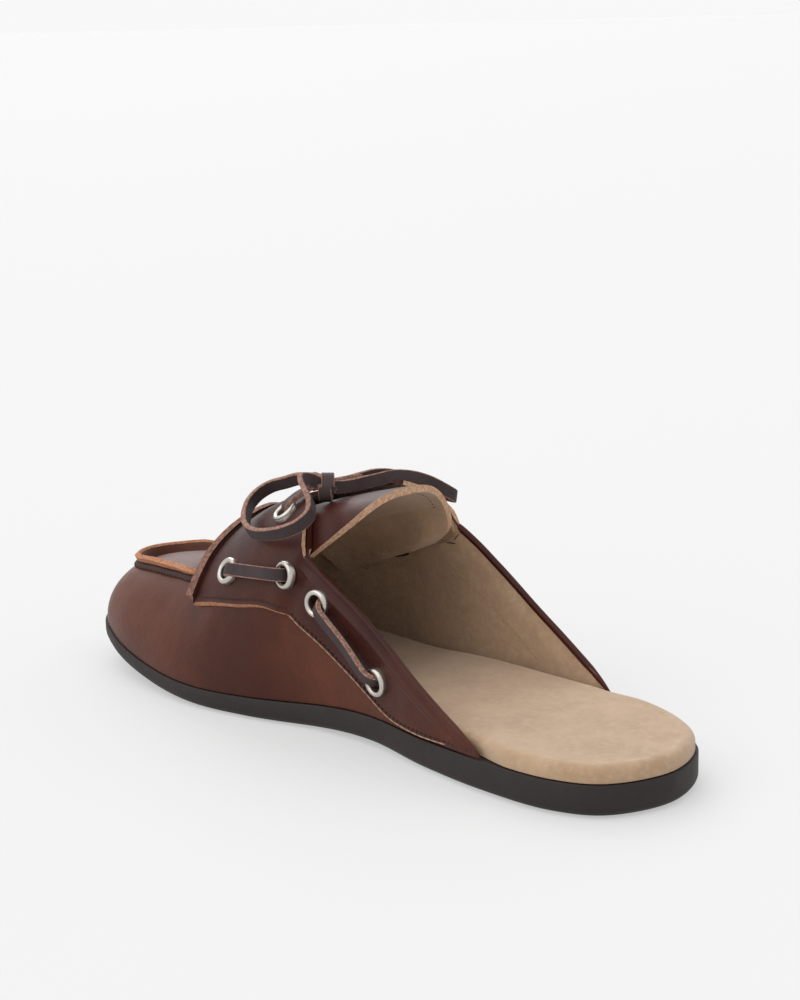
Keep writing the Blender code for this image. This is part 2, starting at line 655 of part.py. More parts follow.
def eyelets(pierced):
    """The eyelets, and the holes for them through the leather."""
    barrel = EYELET_HOLE_RADIUS + EYELET_BARREL_WALL
    depth = SADDLE_LIFT + VAMP_WALL
    profile = [
        (EYELET_HOLE_RADIUS, EYELET_SEAT + EYELET_RIM_HEIGHT * 0.8),
        (EYELET_HOLE_RADIUS, -depth),
        (barrel, -depth),
        (barrel, EYELET_SEAT),
        (EYELET_OUTER_RADIUS, EYELET_SEAT),
        (EYELET_OUTER_RADIUS, EYELET_SEAT + EYELET_RIM_HEIGHT * 0.4),
        ((barrel + EYELET_OUTER_RADIUS) / 2, EYELET_SEAT + EYELET_RIM_HEIGHT),
    ]
    for eyelet in EYELETS:
        point, out = frame_on(eyelet.along, eyelet.around, SADDLE_LIFT)
        turned("eyelet_" + eyelet.name, profile, point, out, EYELET_SIDES, NICKEL)
        bpy.ops.mesh.primitive_cylinder_add(vertices=EYELET_SIDES, radius=barrel + GAP, depth=0.016, location=point)
        cutter = bpy.context.object
        cutter.name = "hole_" + eyelet.name
        cutter.rotation_euler = out.to_track_quat("Z", "Y").to_euler()
        cutter.hide_render = True
        cutter.display_type = "WIRE"
        for collection in list(cutter.users_collection):
            collection.objects.unlink(cutter)
        CUTTERS.objects.link(cutter)
        for leather_piece in pierced:
            hole = leather_piece.modifiers.new(cutter.name, "BOOLEAN")
            hole.operation = "DIFFERENCE"
            hole.object = cutter


def thong(name, centre, out, width=LACE_WIDTH):
    """A flat thong along a line of points. Out is the way that its upper face looks, at each point."""
    centre, out = np.array(centre, float), np.array(out, float)
    ahead = np.gradient(centre, axis=0)
    across = np.cross(out, ahead)
    across /= np.linalg.norm(across, axis=1)[:, None]
    grid = np.stack([centre + across * s * width / 2 for s in (-1, 1)], 1)
    under = out / np.linalg.norm(out, axis=1)[:, None] * LACE_THICKNESS
    return leather(name, grid, grid - under[:, None], THONG)


def eyelet_named(name):
    return next(e for e in EYELETS if e.name == name)


def bars():
    """The thong's bars on the outside of the saddle, each from eyelet to eyelet."""
    for name, start, end in (
        ("lace_inner_front", "inner_front", "inner_corner"),
        ("lace_inner_collar", "inner_collar", "inner_wing"),
        ("lace_outer_front", "outer_front", "outer_corner"),
        ("lace_outer_collar", "outer_collar", "outer_wing"),
    ):
        a, b = eyelet_named(start), eyelet_named(end)
        share = np.linspace(0, 1, 8)
        along = a.along + (b.along - a.along) * share
        around = a.around + (b.around - a.around) * share
        centre = upper(along, around, SADDLE_LIFT + LACE_SEAT + LACE_THICKNESS)
        out = upper(along, around, SADDLE_LIFT + LACE_SEAT + LACE_THICKNESS + 0.001) - centre
        thong(name, centre, out)


# The bar under the knot: how far along it, in shares, and how far its upper face is over the surface.
Sag = namedtuple("Sag", "share lift")
THROAT_BAR = (
    Sag(0.00, 0.0064),
    Sag(0.13, 0.0064),
    Sag(0.26, 0.0046),
    Sag(0.38, 0.0032),
    Sag(0.62, 0.0032),
    Sag(0.74, 0.0046),
    Sag(0.87, 0.0064),
    Sag(1.00, 0.0064),
)


def throat_bar():
    """The thong from one throat eyelet across to the other, under the knot."""
    a, b = eyelet_named("inner_throat"), eyelet_named("outer_throat")
    share = np.linspace(0, 1, 15)
    along = a.along + (b.along - a.along) * share
    around = a.around + (b.around - a.around) * share
    lift = smooth([s.share for s in THROAT_BAR], [s.lift for s in THROAT_BAR], share)
    centre = upper(along, around, lift)
    thong("lace_throat", centre, upper(along, around, lift + 0.001) - centre)


# The bow, in millimetres, points chosen by hand on the thong's middle line. The thong stands on its edge
# in the loops: across is the way that its width runs there.
KNOT_CENTRE = (106.5, 10.0, 76.7)
KNOT_RADII = (3.6, 4.6, 3.6)
BOW_INNER_LOOP = (
    (112.0, 8.8, 79.2), (117.5, 6.2, 77.3), (122.5, 5.2, 76.5), (127.5, 5.2, 75.6), (132.0, 6.6, 74.0),
    (136.3, 9.0, 72.5), (137.8, 13.2, 70.6), (137.1, 17.8, 68.3), (133.4, 22.8, 66.4), (127.7, 28.0, 64.8),
    (120.0, 32.6, 64.0), (112.2, 34.8, 64.4), (105.0, 35.2, 65.8), (98.6, 34.0, 67.8), (94.6, 31.6, 70.2),
    (93.8, 28.4, 72.8), (96.4, 25.6, 75.2), (100.8, 23.2, 77.4), (106.0, 20.8, 79.6), (110.2, 17.6, 81.4),
)
BOW_INNER_ACROSS = (0.15, 0.42, 0.895)
BOW_OUTER_LOOP = (
    (105.0, 5.0, 77.4), (104.8, 0.0, 77.4), (104.3, -5.0, 77.7), (103.2, -10.0, 77.6), (101.2, -15.0, 78.5),
    (98.4, -20.0, 77.2), (94.2, -24.5, 74.8), (90.4, -28.8, 71.4), (89.8, -32.6, 68.8), (92.8, -34.6, 68.0),
    (96.8, -32.8, 69.0), (100.4, -28.6, 71.2), (103.4, -23.6, 73.5), (106.0, -18.4, 76.4), (107.6, -13.0, 78.0),
    (108.2, -7.5, 78.1), (108.4, -2.0, 77.6), (108.8, 3.6, 77.6),
)
BOW_OUTER_ACROSS = (0.12, -0.30, 0.946)


def loop(name, route, across):
    """A loop of the bow, a thong on its edge."""
    points = np.array(route) / 1000
    run = np.concatenate([[0], np.cumsum(np.linalg.norm(np.diff(points, axis=0), axis=1))])
    fine = np.linspace(0, run[-1], 2 * len(points))
    centre = np.stack([smooth(run, points[:, k], fine) for k in range(3)], 1)
    ahead = np.gradient(centre, axis=0)
    out = np.cross(ahead, np.array(across))
    return thong(name, centre, out)


def knot():
    """The bow's knot."""
    bpy.ops.mesh.primitive_uv_sphere_add(segments=16, ring_count=10, radius=1.0)
    ball = bpy.context.object
    ball.name = ball.data.name = "bow_knot"
    for owner in list(ball.users_collection):
        owner.objects.unlink(ball)
    PARTS.objects.link(ball)
    size = Matrix.Diagonal((*(r / 1000 for r in KNOT_RADII), 1))
    ball.data.transform(Matrix.Translation(Vector(KNOT_CENTRE) / 1000) @ size)
    ball.data.materials.append(THONG)
    ball.data.shade_smooth()


def make():
    for obj, material in ((outsole(), RUBBER), (footbed(), SUEDE)):
        obj.data.materials.append(material)
    pierced = [vamp(), saddle()]
    apron()
    tongue()
    eyelets(pierced)
    bars()
    throat_bar()
    loop("bow_loop_inner", BOW_INNER_LOOP, BOW_INNER_ACROSS)
    loop("bow_loop_outer", BOW_OUTER_LOOP, BOW_OUTER_ACROSS)
    knot()


make()
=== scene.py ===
"""The looks of the leather moccasin mule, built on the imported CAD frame.

The pieces of the upper are parts of one surface of ribs, each of which rises from the sole's edge to the
ridge of the instep. Its sizes and tables are those of the part's source. All lengths are in metres.
"""

import math
from collections import namedtuple

import bmesh
import bpy
import numpy as np
from mathutils import Matrix, Vector


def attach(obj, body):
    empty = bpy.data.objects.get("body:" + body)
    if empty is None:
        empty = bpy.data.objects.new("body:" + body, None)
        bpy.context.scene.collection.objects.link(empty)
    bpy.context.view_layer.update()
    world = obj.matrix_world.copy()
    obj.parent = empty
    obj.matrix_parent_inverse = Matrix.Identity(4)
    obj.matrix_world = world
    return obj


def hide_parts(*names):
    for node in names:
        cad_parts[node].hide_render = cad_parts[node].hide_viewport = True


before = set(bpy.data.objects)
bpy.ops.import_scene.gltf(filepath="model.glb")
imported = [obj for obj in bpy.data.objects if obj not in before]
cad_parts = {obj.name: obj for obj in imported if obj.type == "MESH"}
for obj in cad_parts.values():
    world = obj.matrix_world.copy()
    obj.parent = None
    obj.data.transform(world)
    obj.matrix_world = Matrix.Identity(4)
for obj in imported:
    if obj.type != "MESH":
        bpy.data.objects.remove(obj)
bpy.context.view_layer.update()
BODY = "root"

# The camera, found from the sole's outline, the footbed and the eyelets in the photograph
CAMERA_PLACE = (-0.3932, 0.4369, 0.2264)
CAMERA_LOOK = (0.7163, -0.6590, -0.2292)
CAMERA_RIGHT = (-0.6812, -0.7317, -0.0249)
CAMERA_UP = (0.1513, -0.1740, 0.9731)
CAMERA_LENS = 73.16
CAMERA_SENSOR = 36.0


def make_camera():
    """The photograph's view: the columns of the camera's matrix are its right, its up and its back."""
    data = bpy.data.cameras.new("camera")
    data.lens = CAMERA_LENS
    data.sensor_fit = "VERTICAL"
    data.sensor_height = data.sensor_width = CAMERA_SENSOR
    data.clip_start = 0.01
    camera = bpy.data.objects.new("camera", data)
    bpy.context.scene.collection.objects.link(camera)
    turn = Matrix((CAMERA_RIGHT, CAMERA_UP, tuple(-v for v in CAMERA_LOOK))).transposed()
    camera.matrix_world = Matrix.Translation(CAMERA_PLACE) @ turn.to_4x4()
    bpy.context.scene.camera = camera


make_camera()

# Shapes, with the sizes and tables of the part's source

SOLE_LENGTH = 0.256
BALL_BREADTH = 0.0864
WAIST_BREADTH = 0.0650
HEEL_BREADTH = 0.0686
HEEL_CENTRE = 0.034  # from the back of the sole to the origin
SOLE_AT_HEEL = 0.0102
SOLE_AT_BALL = 0.0071
SOLE_AT_TOE = 0.0060
TOE_SPRING = 0.0118
ARCH_RISE = 0.0012
ARCH_FROM, ARCH_TO = 0.28, 0.56  # stations between which the arch is raised
SPRING_FROM = 0.64  # the station from which the toe springs
SOLE_EDGE_ROUND = 0.0040  # how far the tread is set in from the sole's edge
FOOTBED_AT_HEEL = 0.0052
FOOTBED_AT_TOE = 0.0030
FOOTBED_EDGE_ROUND = 0.0030
FOOTBED_SET_IN = 0.0010
FOOTBED_DISH = 0.0008
INSTEP_HEIGHT = 0.0800
VAMP_WALL = 0.0020
SADDLE_WALL = 0.0016
APRON_WALL = 0.0018
TONGUE_WALL = 0.0024
LIP_HEIGHT = 0.0026  # the saddle's front edge, turned up
RIM_HEIGHT = 0.0034  # the raw edge that stands up along the moccasin seam
APRON_SUNK = 0.0008  # the apron lies this far below the vamp's surface
EYELET_OUTER_RADIUS = 0.00475
EYELET_HOLE_RADIUS = 0.0028
LACE_WIDTH = 0.0044
LACE_THICKNESS = 0.0018
UPPER_SET_IN = 0.0008
GAP = 0.0003  # between pieces that touch
SADDLE_LIFT = 2 * GAP + SADDLE_WALL  # the saddle's face over the upper's surface
WING_FROM = 0.195  # the wing's tip
TOE_TIP_ASIDE = 0.085  # of the ball's breadth, towards the inner side
FAN_FROM = 0.70  # in front of this station the ribs turn towards the toe
FAN_SHARE = 0.60
RIDGE_HALF = 0.01  # this close to the ridge, the surface faces as the ridge does

Edge = namedtuple("Edge", "along breadth inner outer")
SOLE_EDGE = [Edge(*row) for row in (
    (0.030, HEEL_BREADTH, 0.315, 0.300),
    (0.090, HEEL_BREADTH, 0.440, 0.445),
    (0.200, HEEL_BREADTH, 0.474, 0.526),
    (0.300, HEEL_BREADTH, 0.450, 0.545),
    (0.400, WAIST_BREADTH, 0.435, 0.568),
    (0.500, WAIST_BREADTH, 0.470, 0.582),
    (0.600, BALL_BREADTH, 0.448, 0.474),
    (0.700, BALL_BREADTH, 0.505, 0.494),
    (0.800, BALL_BREADTH, 0.490, 0.450),
    (0.900, BALL_BREADTH, 0.428, 0.322),
    (0.965, BALL_BREADTH, 0.325, 0.165),
)]
Section = namedtuple("Section", "along ridge aside inner_bulge outer_bulge round")
SECTIONS = [Section(*row) for row in (
    (0.10, 1.120, 0.000, 0.000, 0.000, 0.80),
    (0.20, 1.110, 0.000, 0.010, 0.000, 0.80),
    (0.33, 1.080, 0.000, 0.030, 0.000, 0.78),
    (0.43, 1.030, 0.010, 0.050, 0.000, 0.74),
    (0.51, 0.968, 0.020, 0.050, 0.000, 0.77),
    (0.59, 0.890, 0.030, 0.026, 0.010, 0.87),
    (0.66, 0.805, 0.035, 0.008, 0.010, 1.00),
    (0.715, 0.705, 0.035, 0.000, 0.004, 1.08),
    (0.76, 0.610, 0.040, 0.000, 0.000, 1.06),
    (0.80, 0.548, 0.045, 0.000, 0.000, 1.02),
    (0.84, 0.512, 0.050, 0.000, 0.000, 0.98),
    (0.88, 0.485, 0.050, 0.000, 0.000, 0.96),
)]


def smooth(stations, values, at):
    """A smooth curve through the table's values: cubic pieces, each slope the mean of its neighbours'."""
    stations = np.asarray(stations, float)
    values = np.asarray(values, float)
    at = np.clip(np.asarray(at, float), stations[0], stations[-1])
    slopes = np.gradient(values, stations)
    low = np.clip(np.searchsorted(stations, at, side="right") - 1, 0, len(stations) - 2)
    width = stations[low + 1] - stations[low]
    t = (at - stations[low]) / width
    return (
        values[low] * (1 + 2 * t) * (1 - t) ** 2
        + values[low + 1] * t**2 * (3 - 2 * t)
        + slopes[low] * width * t * (1 - t) ** 2
        - slopes[low + 1] * width * t**2 * (1 - t)
    )


def eased(share):
    """A share held between 0 and 1, with soft ends."""
    share = np.clip(share, 0, 1)
    return share * share * (3 - 2 * share)


def bell(distance, width):
    return np.exp(-((distance / width) ** 2))


def run_along(points):
    """How far along a line each of its points lies."""
    return np.concatenate([[0], np.cumsum(np.linalg.norm(np.diff(points, axis=0), axis=1))])


def station(x):
    """The share of the sole's length at x."""
    return (x + HEEL_CENTRE) / SOLE_LENGTH


def at_station(along):
    return along * SOLE_LENGTH - HEEL_CENTRE


Half = namedtuple("Half", "line normal share reach")


def half_edges():
    """The sole's edge as its inner and outer half, each a fine line from the heel's back to the toe's tip
    with its outward normals. Share is how far along the line a point lies. Reach is the angle, as a share
    of a right angle, whose sine is the point's station."""
    inner = [(at_station(e.along), e.inner * e.breadth) for e in SOLE_EDGE]
    outer = [(at_station(e.along), -e.outer * e.breadth) for e in SOLE_EDGE]
    heel = (at_station(0.0), 0.0)
    toe = (at_station(1.0), TOE_TIP_ASIDE * BALL_BREADTH)
    loop = np.array([heel, *inner, toe, *outer[::-1]])
    run = np.concatenate([loop, loop, loop, loop[:1]])
    steps = np.linalg.norm(np.diff(run, axis=0), axis=1) ** 0.5
    length = np.concatenate([[0.0], np.cumsum(steps)])
    n = len(loop)
    fine = np.linspace(length[n // 2], length[n // 2 + n], 2401)
    line = np.stack([smooth(length, run[:, 0], fine), smooth(length, run[:, 1], fine)], 1)
    back, front = int(np.argmin(line[:, 0])), int(np.argmax(line[:, 0]))
    line = np.roll(line[:-1], -back, axis=0)
    front = (front - back) % len(line)
    line = np.concatenate([line, line[:1]])
    ahead = np.gradient(np.concatenate([line[-2:-1], line, line[1:2]]), axis=0)[1:-1]
    normal = np.stack([-ahead[:, 1], ahead[:, 0]], 1)
    normal /= np.linalg.norm(normal, axis=1)[:, None]
    halves = []
    for points, out in ((line[: front + 1], normal[: front + 1]), (line[front:][::-1], normal[front:][::-1])):
        run = run_along(points)
        along = (points[:, 0] - points[0, 0]) / (points[-1, 0] - points[0, 0])
        reach = np.arcsin(np.clip(np.maximum.accumulate(along), 0, 1)) * 2 / math.pi
        halves.append(Half(points, out, run / run[-1], reach))
    return halves


INNER, OUTER = 0, 1
HALF_EDGES = half_edges()


def edge_point(side, along_line, at, set_in=0.0):
    """Points of the sole's edge, set in towards the middle, at a share or a reach."""
    half = HALF_EDGES[side]
    measure = getattr(half, along_line)
    point = np.stack([np.interp(at, measure, half.line[:, k]) for k in (0, 1)], -1)
    out = np.stack([np.interp(at, measure, half.normal[:, k]) for k in (0, 1)], -1)
    return point - out * np.asarray(set_in)[..., None]


def reach_of(along):
    return np.arcsin(np.clip(along, 0, 1)) * 2 / math.pi


def tread_height(x):
    """The underside of the sole: flat at the heel and the ball, raised at the arch and the toe."""
    along = station(x)
    arch = np.clip((along - ARCH_FROM) / (ARCH_TO - ARCH_FROM), 0, 1)
    spring = np.clip((along - SPRING_FROM) / (1 - SPRING_FROM), 0, 1)
    return ARCH_RISE * np.sin(math.pi * arch) ** 2 + TOE_SPRING * spring**2


def sole_top(x):
    """The top face of the outsole."""
    thickness = smooth(
        (0.0, 0.25, 0.45, 0.65, 1.0),
        (SOLE_AT_HEEL, SOLE_AT_HEEL, (SOLE_AT_HEEL + SOLE_AT_BALL) / 2, SOLE_AT_BALL, SOLE_AT_TOE),
        station(x),
    )
    return tread_height(x) + thickness


def ridge_station(along):
    """The station at which the rib from a station of the sole's edge meets the ridge."""
    beyond = np.clip(along - FAN_FROM, 0, None)
    return along - (1 - FAN_SHARE) * beyond**2 / (1 - FAN_FROM)


def rib(side, reach, up):
    """Points of the upper's surface. A rib rises from the sole's edge to the ridge of the instep as a
    squared quarter ellipse, and up is how far it has turned, from 0 at the sole to 1 at the ridge."""
    base = edge_point(side, "reach", reach, UPPER_SET_IN)
    ridge_along = ridge_station(np.sin(reach * math.pi / 2))

    def column(name):
        return smooth([s.along for s in SECTIONS], [getattr(s, name) for s in SECTIONS], ridge_along)

    ridge = np.stack([at_station(ridge_along), column("aside") * BALL_BREADTH], -1)
    foot = sole_top(base[..., 0]) + GAP
    top = column("ridge") * INSTEP_HEIGHT
    turn = np.clip(up, 0, 1) * math.pi / 2
    power = column("round")
    inwards = 1 - np.cos(turn).clip(0) ** power
    height = foot + (top - foot) * np.sin(turn).clip(0) ** power
    bulge = column("outer_bulge" if side == OUTER else "inner_bulge") * BALL_BREADTH * np.sin(2 * turn)
    span = ridge - base
    away = span / np.linalg.norm(span, axis=-1, keepdims=True)
    plan = base + span * inwards[..., None] - away * bulge[..., None]
    return np.concatenate([plan, height[..., None]], -1)


def upper(along, around, lift=0.0):
    """Points of the upper's surface on both sides: around is 1 at the sole's inner edge, 0 on the ridge and
    -1 at its outer edge. Lift moves them along the surface's normal."""
    reach, around = np.broadcast_arrays(reach_of(along), np.asarray(around, float))

    def place(reach, around):
        up = 1 - np.abs(around)
        inner, outer = (rib(side, np.clip(reach, 0, 1), up) for side in (INNER, OUTER))
        return np.where((around >= 0)[..., None], inner, outer)

    step = 0.004
    ahead = place(reach + step, around) - place(reach - step, around)
    across = place(reach, np.clip(around + step, -1, 1)) - place(reach, np.clip(around - step, -1, 1))
    normal = np.cross(ahead, across)
    ridge_along = ridge_station(np.sin(reach * math.pi / 2))
    heights = [s.ridge * INSTEP_HEIGHT for s in SECTIONS]
    rise = [smooth([s.along for s in SECTIONS], heights, ridge_along + d) for d in (-RIDGE_HALF, RIDGE_HALF)]
    slope = (rise[1] - rise[0]) / (2 * RIDGE_HALF * SOLE_LENGTH)
    on_ridge = np.stack([-slope, np.zeros_like(slope), np.ones_like(slope)], -1)
    normal = np.where((np.abs(around) < RIDGE_HALF)[..., None], on_ridge, normal)
    normal /= np.linalg.norm(normal, axis=-1, keepdims=True)
    return place(reach, around) + normal * np.asarray(lift)[..., None]


def moved(along, around, distance):
    """The place on the surface a distance further from the ridge, down the same rib."""
    step = 0.01
    around = np.asarray(around, float)
    side = np.where(around < 0, -1.0, 1.0)
    low, high = np.clip(around - step, -1, 1), np.clip(around + step, -1, 1)
    run = np.linalg.norm(upper(along, high) - upper(along, low), axis=-1)
    return around + side * distance * (high - low) / run


def onward(along, around, along_step, around_step):
    """The way along the surface in which a step of the station, or of the way around, goes."""
    way = upper(along + along_step, around + around_step) - upper(along - along_step, around - around_step)
    return way / np.linalg.norm(way, axis=-1, keepdims=True)


def outwards(along, around):
    """The surface's normal."""
    return upper(along, around, 1.0) - upper(along, around)


def filled(rows, steps, corners=()):
    """A table filled in between its rows with smooth curves that break at the rows named as corners."""
    table = np.array(rows, float)
    ends = [0, *corners, len(table) - 1]
    parts = []
    for first, last in zip(ends, ends[1:]):
        index = np.arange(first, last + 1)
        at = np.linspace(first, last, (last - first) * steps + 1)
        if last - first == 1:
            part = np.stack([np.interp(at, index, column[first : last + 1]) for column in table.T], 1)
        else:
            part = np.stack([smooth(index, column[first : last + 1], at) for column in table.T], 1)
        parts.append(part if not parts else part[1:])
    return np.concatenate(parts)


# Meshes

LEATHER_SLOT, LINING_SLOT, CUT_SLOT, CUT_SLOT_TWO, CUT_SLOT_THREE = range(5)
SAME_PLACE = 0.00001  # points closer than this are one


def new_object(name, points, faces, slots, materials, angle=40):
    """A mesh object with its faces turned outwards, merged and smooth up to an angle."""
    mesh = bpy.data.meshes.new(name)
    mesh.from_pydata(np.asarray(points, float).tolist(), [], faces)
    mesh.polygons.foreach_set("material_index", np.asarray(slots, np.int32))
    shape = bmesh.new()
    shape.from_mesh(mesh)
    bmesh.ops.remove_doubles(shape, verts=shape.verts, dist=SAME_PLACE)
    bmesh.ops.recalc_face_normals(shape, faces=shape.faces)
    shape.to_mesh(mesh)
    shape.free()
    for material in materials:
        mesh.materials.append(material)
    mesh.shade_smooth()
    mesh.set_sharp_from_angle(angle=math.radians(angle))
    obj = bpy.data.objects.new(name, mesh)
    bpy.context.scene.collection.objects.link(obj)
    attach(obj, BODY)
    return obj


def grid_faces(index):
    """The four corners of each cell of a grid of vertex numbers."""
    return np.stack([index[:-1, :-1], index[1:, :-1], index[1:, 1:], index[:-1, 1:]], -1)


def shell(name, outer, inner, materials, out_slots, in_slots, rims, keep=None):
    """A wall between two grids of points. Rims gives the slot of the edge faces at the first column, the last
    column, the first row and the last row, each a number or one for each cell, or None for no faces. Keep
    says which cells are there, so that holes can be left."""
    rows, columns = outer.shape[:2]
    count = rows * columns
    index = np.arange(count).reshape(rows, columns)
    cells = (rows - 1, columns - 1)
    keep = np.ones(cells, bool) if keep is None else keep
    faces = [grid_faces(index)[keep], grid_faces(index + count)[keep][:, ::-1]]
    slots = [np.broadcast_to(out_slots, cells)[keep], np.broadcast_to(in_slots, cells)[keep]]
    lines = (index[:, 0], index[:, -1], index[0], index[-1])
    there = (keep[:, 0], keep[:, -1], keep[0], keep[-1])
    for line, slot, cell in zip(lines, rims, there):
        if slot is None:
            continue
        quad = np.stack([line[:-1], line[1:], line[1:] + count, line[:-1] + count], -1)
        faces.append(quad[cell])
        slots.append(np.broadcast_to(slot, cell.shape)[cell])
    down, right = keep[1:] != keep[:-1], keep[:, 1:] != keep[:, :-1]
    for start, end in (
        (index[1:-1, :-1][down], index[1:-1, 1:][down]),
        (index[:-1, 1:-1][right], index[1:, 1:-1][right]),
    ):
        faces.append(np.stack([start, end, end + count, start + count], -1))
        slots.append(np.full(len(start), CUT_SLOT))
    quads = np.concatenate(faces).tolist()
    points = np.concatenate([outer.reshape(-1, 3), inner.reshape(-1, 3)])
    return new_object(name, points, quads, np.concatenate(slots), materials)


def swept(centre, across, out, profile):
    """A profile carried along a line of points: each of its points lies so far across and so far out."""
    profile = np.asarray(profile)
    return centre[:, None] + across[:, None] * profile[..., :1] + out[:, None] * profile[..., 1:]


def unit(vectors):
    return vectors / np.linalg.norm(vectors, axis=-1, keepdims=True)


def tube(name, rings, slots, materials, closed=False, angle=40):
    """A closed skin over rings of points. Slots gives each side of the ring its material."""
    count, around = rings.shape[:2]
    index = np.arange(count * around).reshape(count, around)
    index = np.concatenate([index, index[:, :1]], 1)
    if closed:
        index = np.concatenate([index, index[:1]])
    cells = grid_faces(index)
    faces = cells.reshape(-1, 4).tolist()
    materials_of = np.tile(slots, len(cells))
    if not closed:
        faces += [index[0, :-1].tolist(), index[-1, -2::-1].tolist()]
        materials_of = np.concatenate([materials_of, [max(slots)] * 2])
    return new_object(name, rings.reshape(-1, 3), faces, materials_of, materials, angle)


def resample(points, spacing):
    """Points at an even spacing along a smooth line through the given ones."""
    points = np.asarray(points, float)
    run = run_along(points)
    dense = np.linspace(0, run[-1], 40 * len(points))
    line = np.stack([smooth(run, column, dense) for column in points.T], 1)
    run = run_along(line)
    even = np.linspace(0, run[-1], max(2, round(run[-1] / spacing) + 1))
    return np.stack([np.interp(even, run, column) for column in line.T], 1)


def ball(rings, segments):
    """A unit ball of rings and segments, as points and faces."""
    polar = np.linspace(0, math.pi, rings + 1)[1:-1, None]
    turn = np.arange(segments) * 2 * math.pi / segments
    body = [np.sin(polar) * np.cos(turn), np.sin(polar) * np.sin(turn), np.cos(polar) + 0 * turn]
    points = np.concatenate([np.stack(body, -1).reshape(-1, 3), [[0, 0, 1], [0, 0, -1]]])
    top, bottom = len(points) - 2, len(points) - 1
    index = np.arange(top).reshape(rings - 1, segments)
    index = np.concatenate([index, index[:, :1]], 1)
    faces = grid_faces(index).reshape(-1, 4).tolist()
    faces += [[top, a, b] for a, b in zip(index[0, :-1].tolist(), index[0, 1:].tolist())]
    faces += [[bottom, b, a] for a, b in zip(index[-1, :-1].tolist(), index[-1, 1:].tolist())]
    return points, faces


def beads(name, centres, ahead, out, size, material, rings=5, segments=8):
    """Rounded grains, such as stitches: each has its centre, the way that its length runs, the way out of
    the surface, and half of its length, width and height."""
    shape, cell = ball(rings, segments)
    ahead = unit(ahead)
    out = unit(out - ahead * (out * ahead).sum(-1, keepdims=True))
    axes = np.stack([ahead * size[0], np.cross(out, ahead) * size[1], out * size[2]], 1)
    points = centres[:, None] + np.einsum("pk,nkd->npd", shape[:, [2, 0, 1]], axes)
    faces = [[corner + n * len(shape) for corner in face] for n in range(len(centres)) for face in cell]
    return new_object(name, points.reshape(-1, 3), faces, np.zeros(len(faces)), [material], 180)


# Materials


class Socket:
    """A node's output. Adding to it or multiplying it makes a Math node."""

    def __init__(self, finish, link):
        self.finish, self.link = finish, link

    def math(self, operation, other):
        return self.finish.node("ShaderNodeMath", {"operation": operation}, (self, other))

    def __radd__(self, other):
        return self.math("ADD", other)

    def __mul__(self, other):
        return self.math("MULTIPLY", other)

    __rmul__ = __mul__


class Finish:
    """A material whose nodes are made by short calls."""

    def __init__(self, name, roughness, metallic=0.0, coat=0.0, sheen=0.0, specular=0.5):
        self.material = bpy.data.materials.new(name)
        self.material.use_nodes = True
        self.nodes = self.material.node_tree.nodes
        self.surface = self.nodes["Principled BSDF"]
        for socket, value in (
            ("Roughness", roughness),
            ("Metallic", metallic),
            ("Coat Weight", coat),
            ("Coat Roughness", 0.3),
            ("Sheen Weight", sheen),
            ("Sheen Roughness", 0.5),
            ("Specular IOR Level", specular),
        ):
            self.surface.inputs[socket].default_value = value

    def put(self, socket, value):
        if isinstance(value, Socket):
            self.material.node_tree.links.new(value.link, socket)
        else:
            socket.default_value = value

    def node(self, kind, settings, inputs, output=0):
        made = self.nodes.new(kind)
        for key, value in settings.items():
            setattr(made, key, value)
        pairs = inputs.items() if isinstance(inputs, dict) else enumerate(inputs)
        for key, value in pairs:
            self.put(made.inputs[key], value)
        return Socket(self, made.outputs[output])

    def place(self):
        """The point on the object, in metres."""
        return self.node("ShaderNodeTexCoord", {}, {}, "Object")

    def noise(self, scale, detail, roughness=0.6):
        inputs = {"Vector": self.place(), "Scale": scale, "Detail": detail, "Roughness": roughness}
        return self.node("ShaderNodeTexNoise", {}, inputs, "Fac")

    def cells(self, scale):
        return self.node("ShaderNodeTexVoronoi", {}, {"Vector": self.place(), "Scale": scale}, "Distance")

    def between(self, value, low, high, to_low=0.0, to_high=1.0):
        """Value turned from one range into another, smoothly, and held at its ends."""
        inputs = {"Value": value, "From Min": low, "From Max": high, "To Min": to_low, "To Max": to_high}
        return self.node("ShaderNodeMapRange", {"interpolation_type": "SMOOTHSTEP"}, inputs)

    def mix(self, share, first, second):
        """One colour turning into another."""
        made = self.nodes.new("ShaderNodeMix")
        made.data_type = "RGBA"
        self.put(made.inputs[0], share)
        for socket, value in ((made.inputs[6], first), (made.inputs[7], second)):
            self.put(socket, value if isinstance(value, Socket) else (*value, 1))
        return Socket(self, made.outputs[2])

    def near(self, centre, radius, soft):
        """1 close to a point, and 0 further from it than its radius."""
        away = self.node("ShaderNodeVectorMath", {"operation": "DISTANCE"}, (self.place(), centre), "Value")
        return self.between(away, radius - soft, radius + soft, 1.0, 0.0)

    def color(self, value):
        self.put(self.surface.inputs["Base Color"], value if isinstance(value, Socket) else (*value, 1))

    def rough(self, value):
        self.put(self.surface.inputs["Roughness"], value)

    def bump(self, *layers):
        """Bump from pairs of a height and the depth in metres that it stands for."""
        normal = None
        for height, depth in layers:
            inputs = {"Height": height, "Strength": 1.0, "Distance": depth}
            if normal:
                inputs["Normal"] = normal
            normal = self.node("ShaderNodeBump", {}, inputs, "Normal")
        self.put(self.surface.inputs["Normal"], normal)


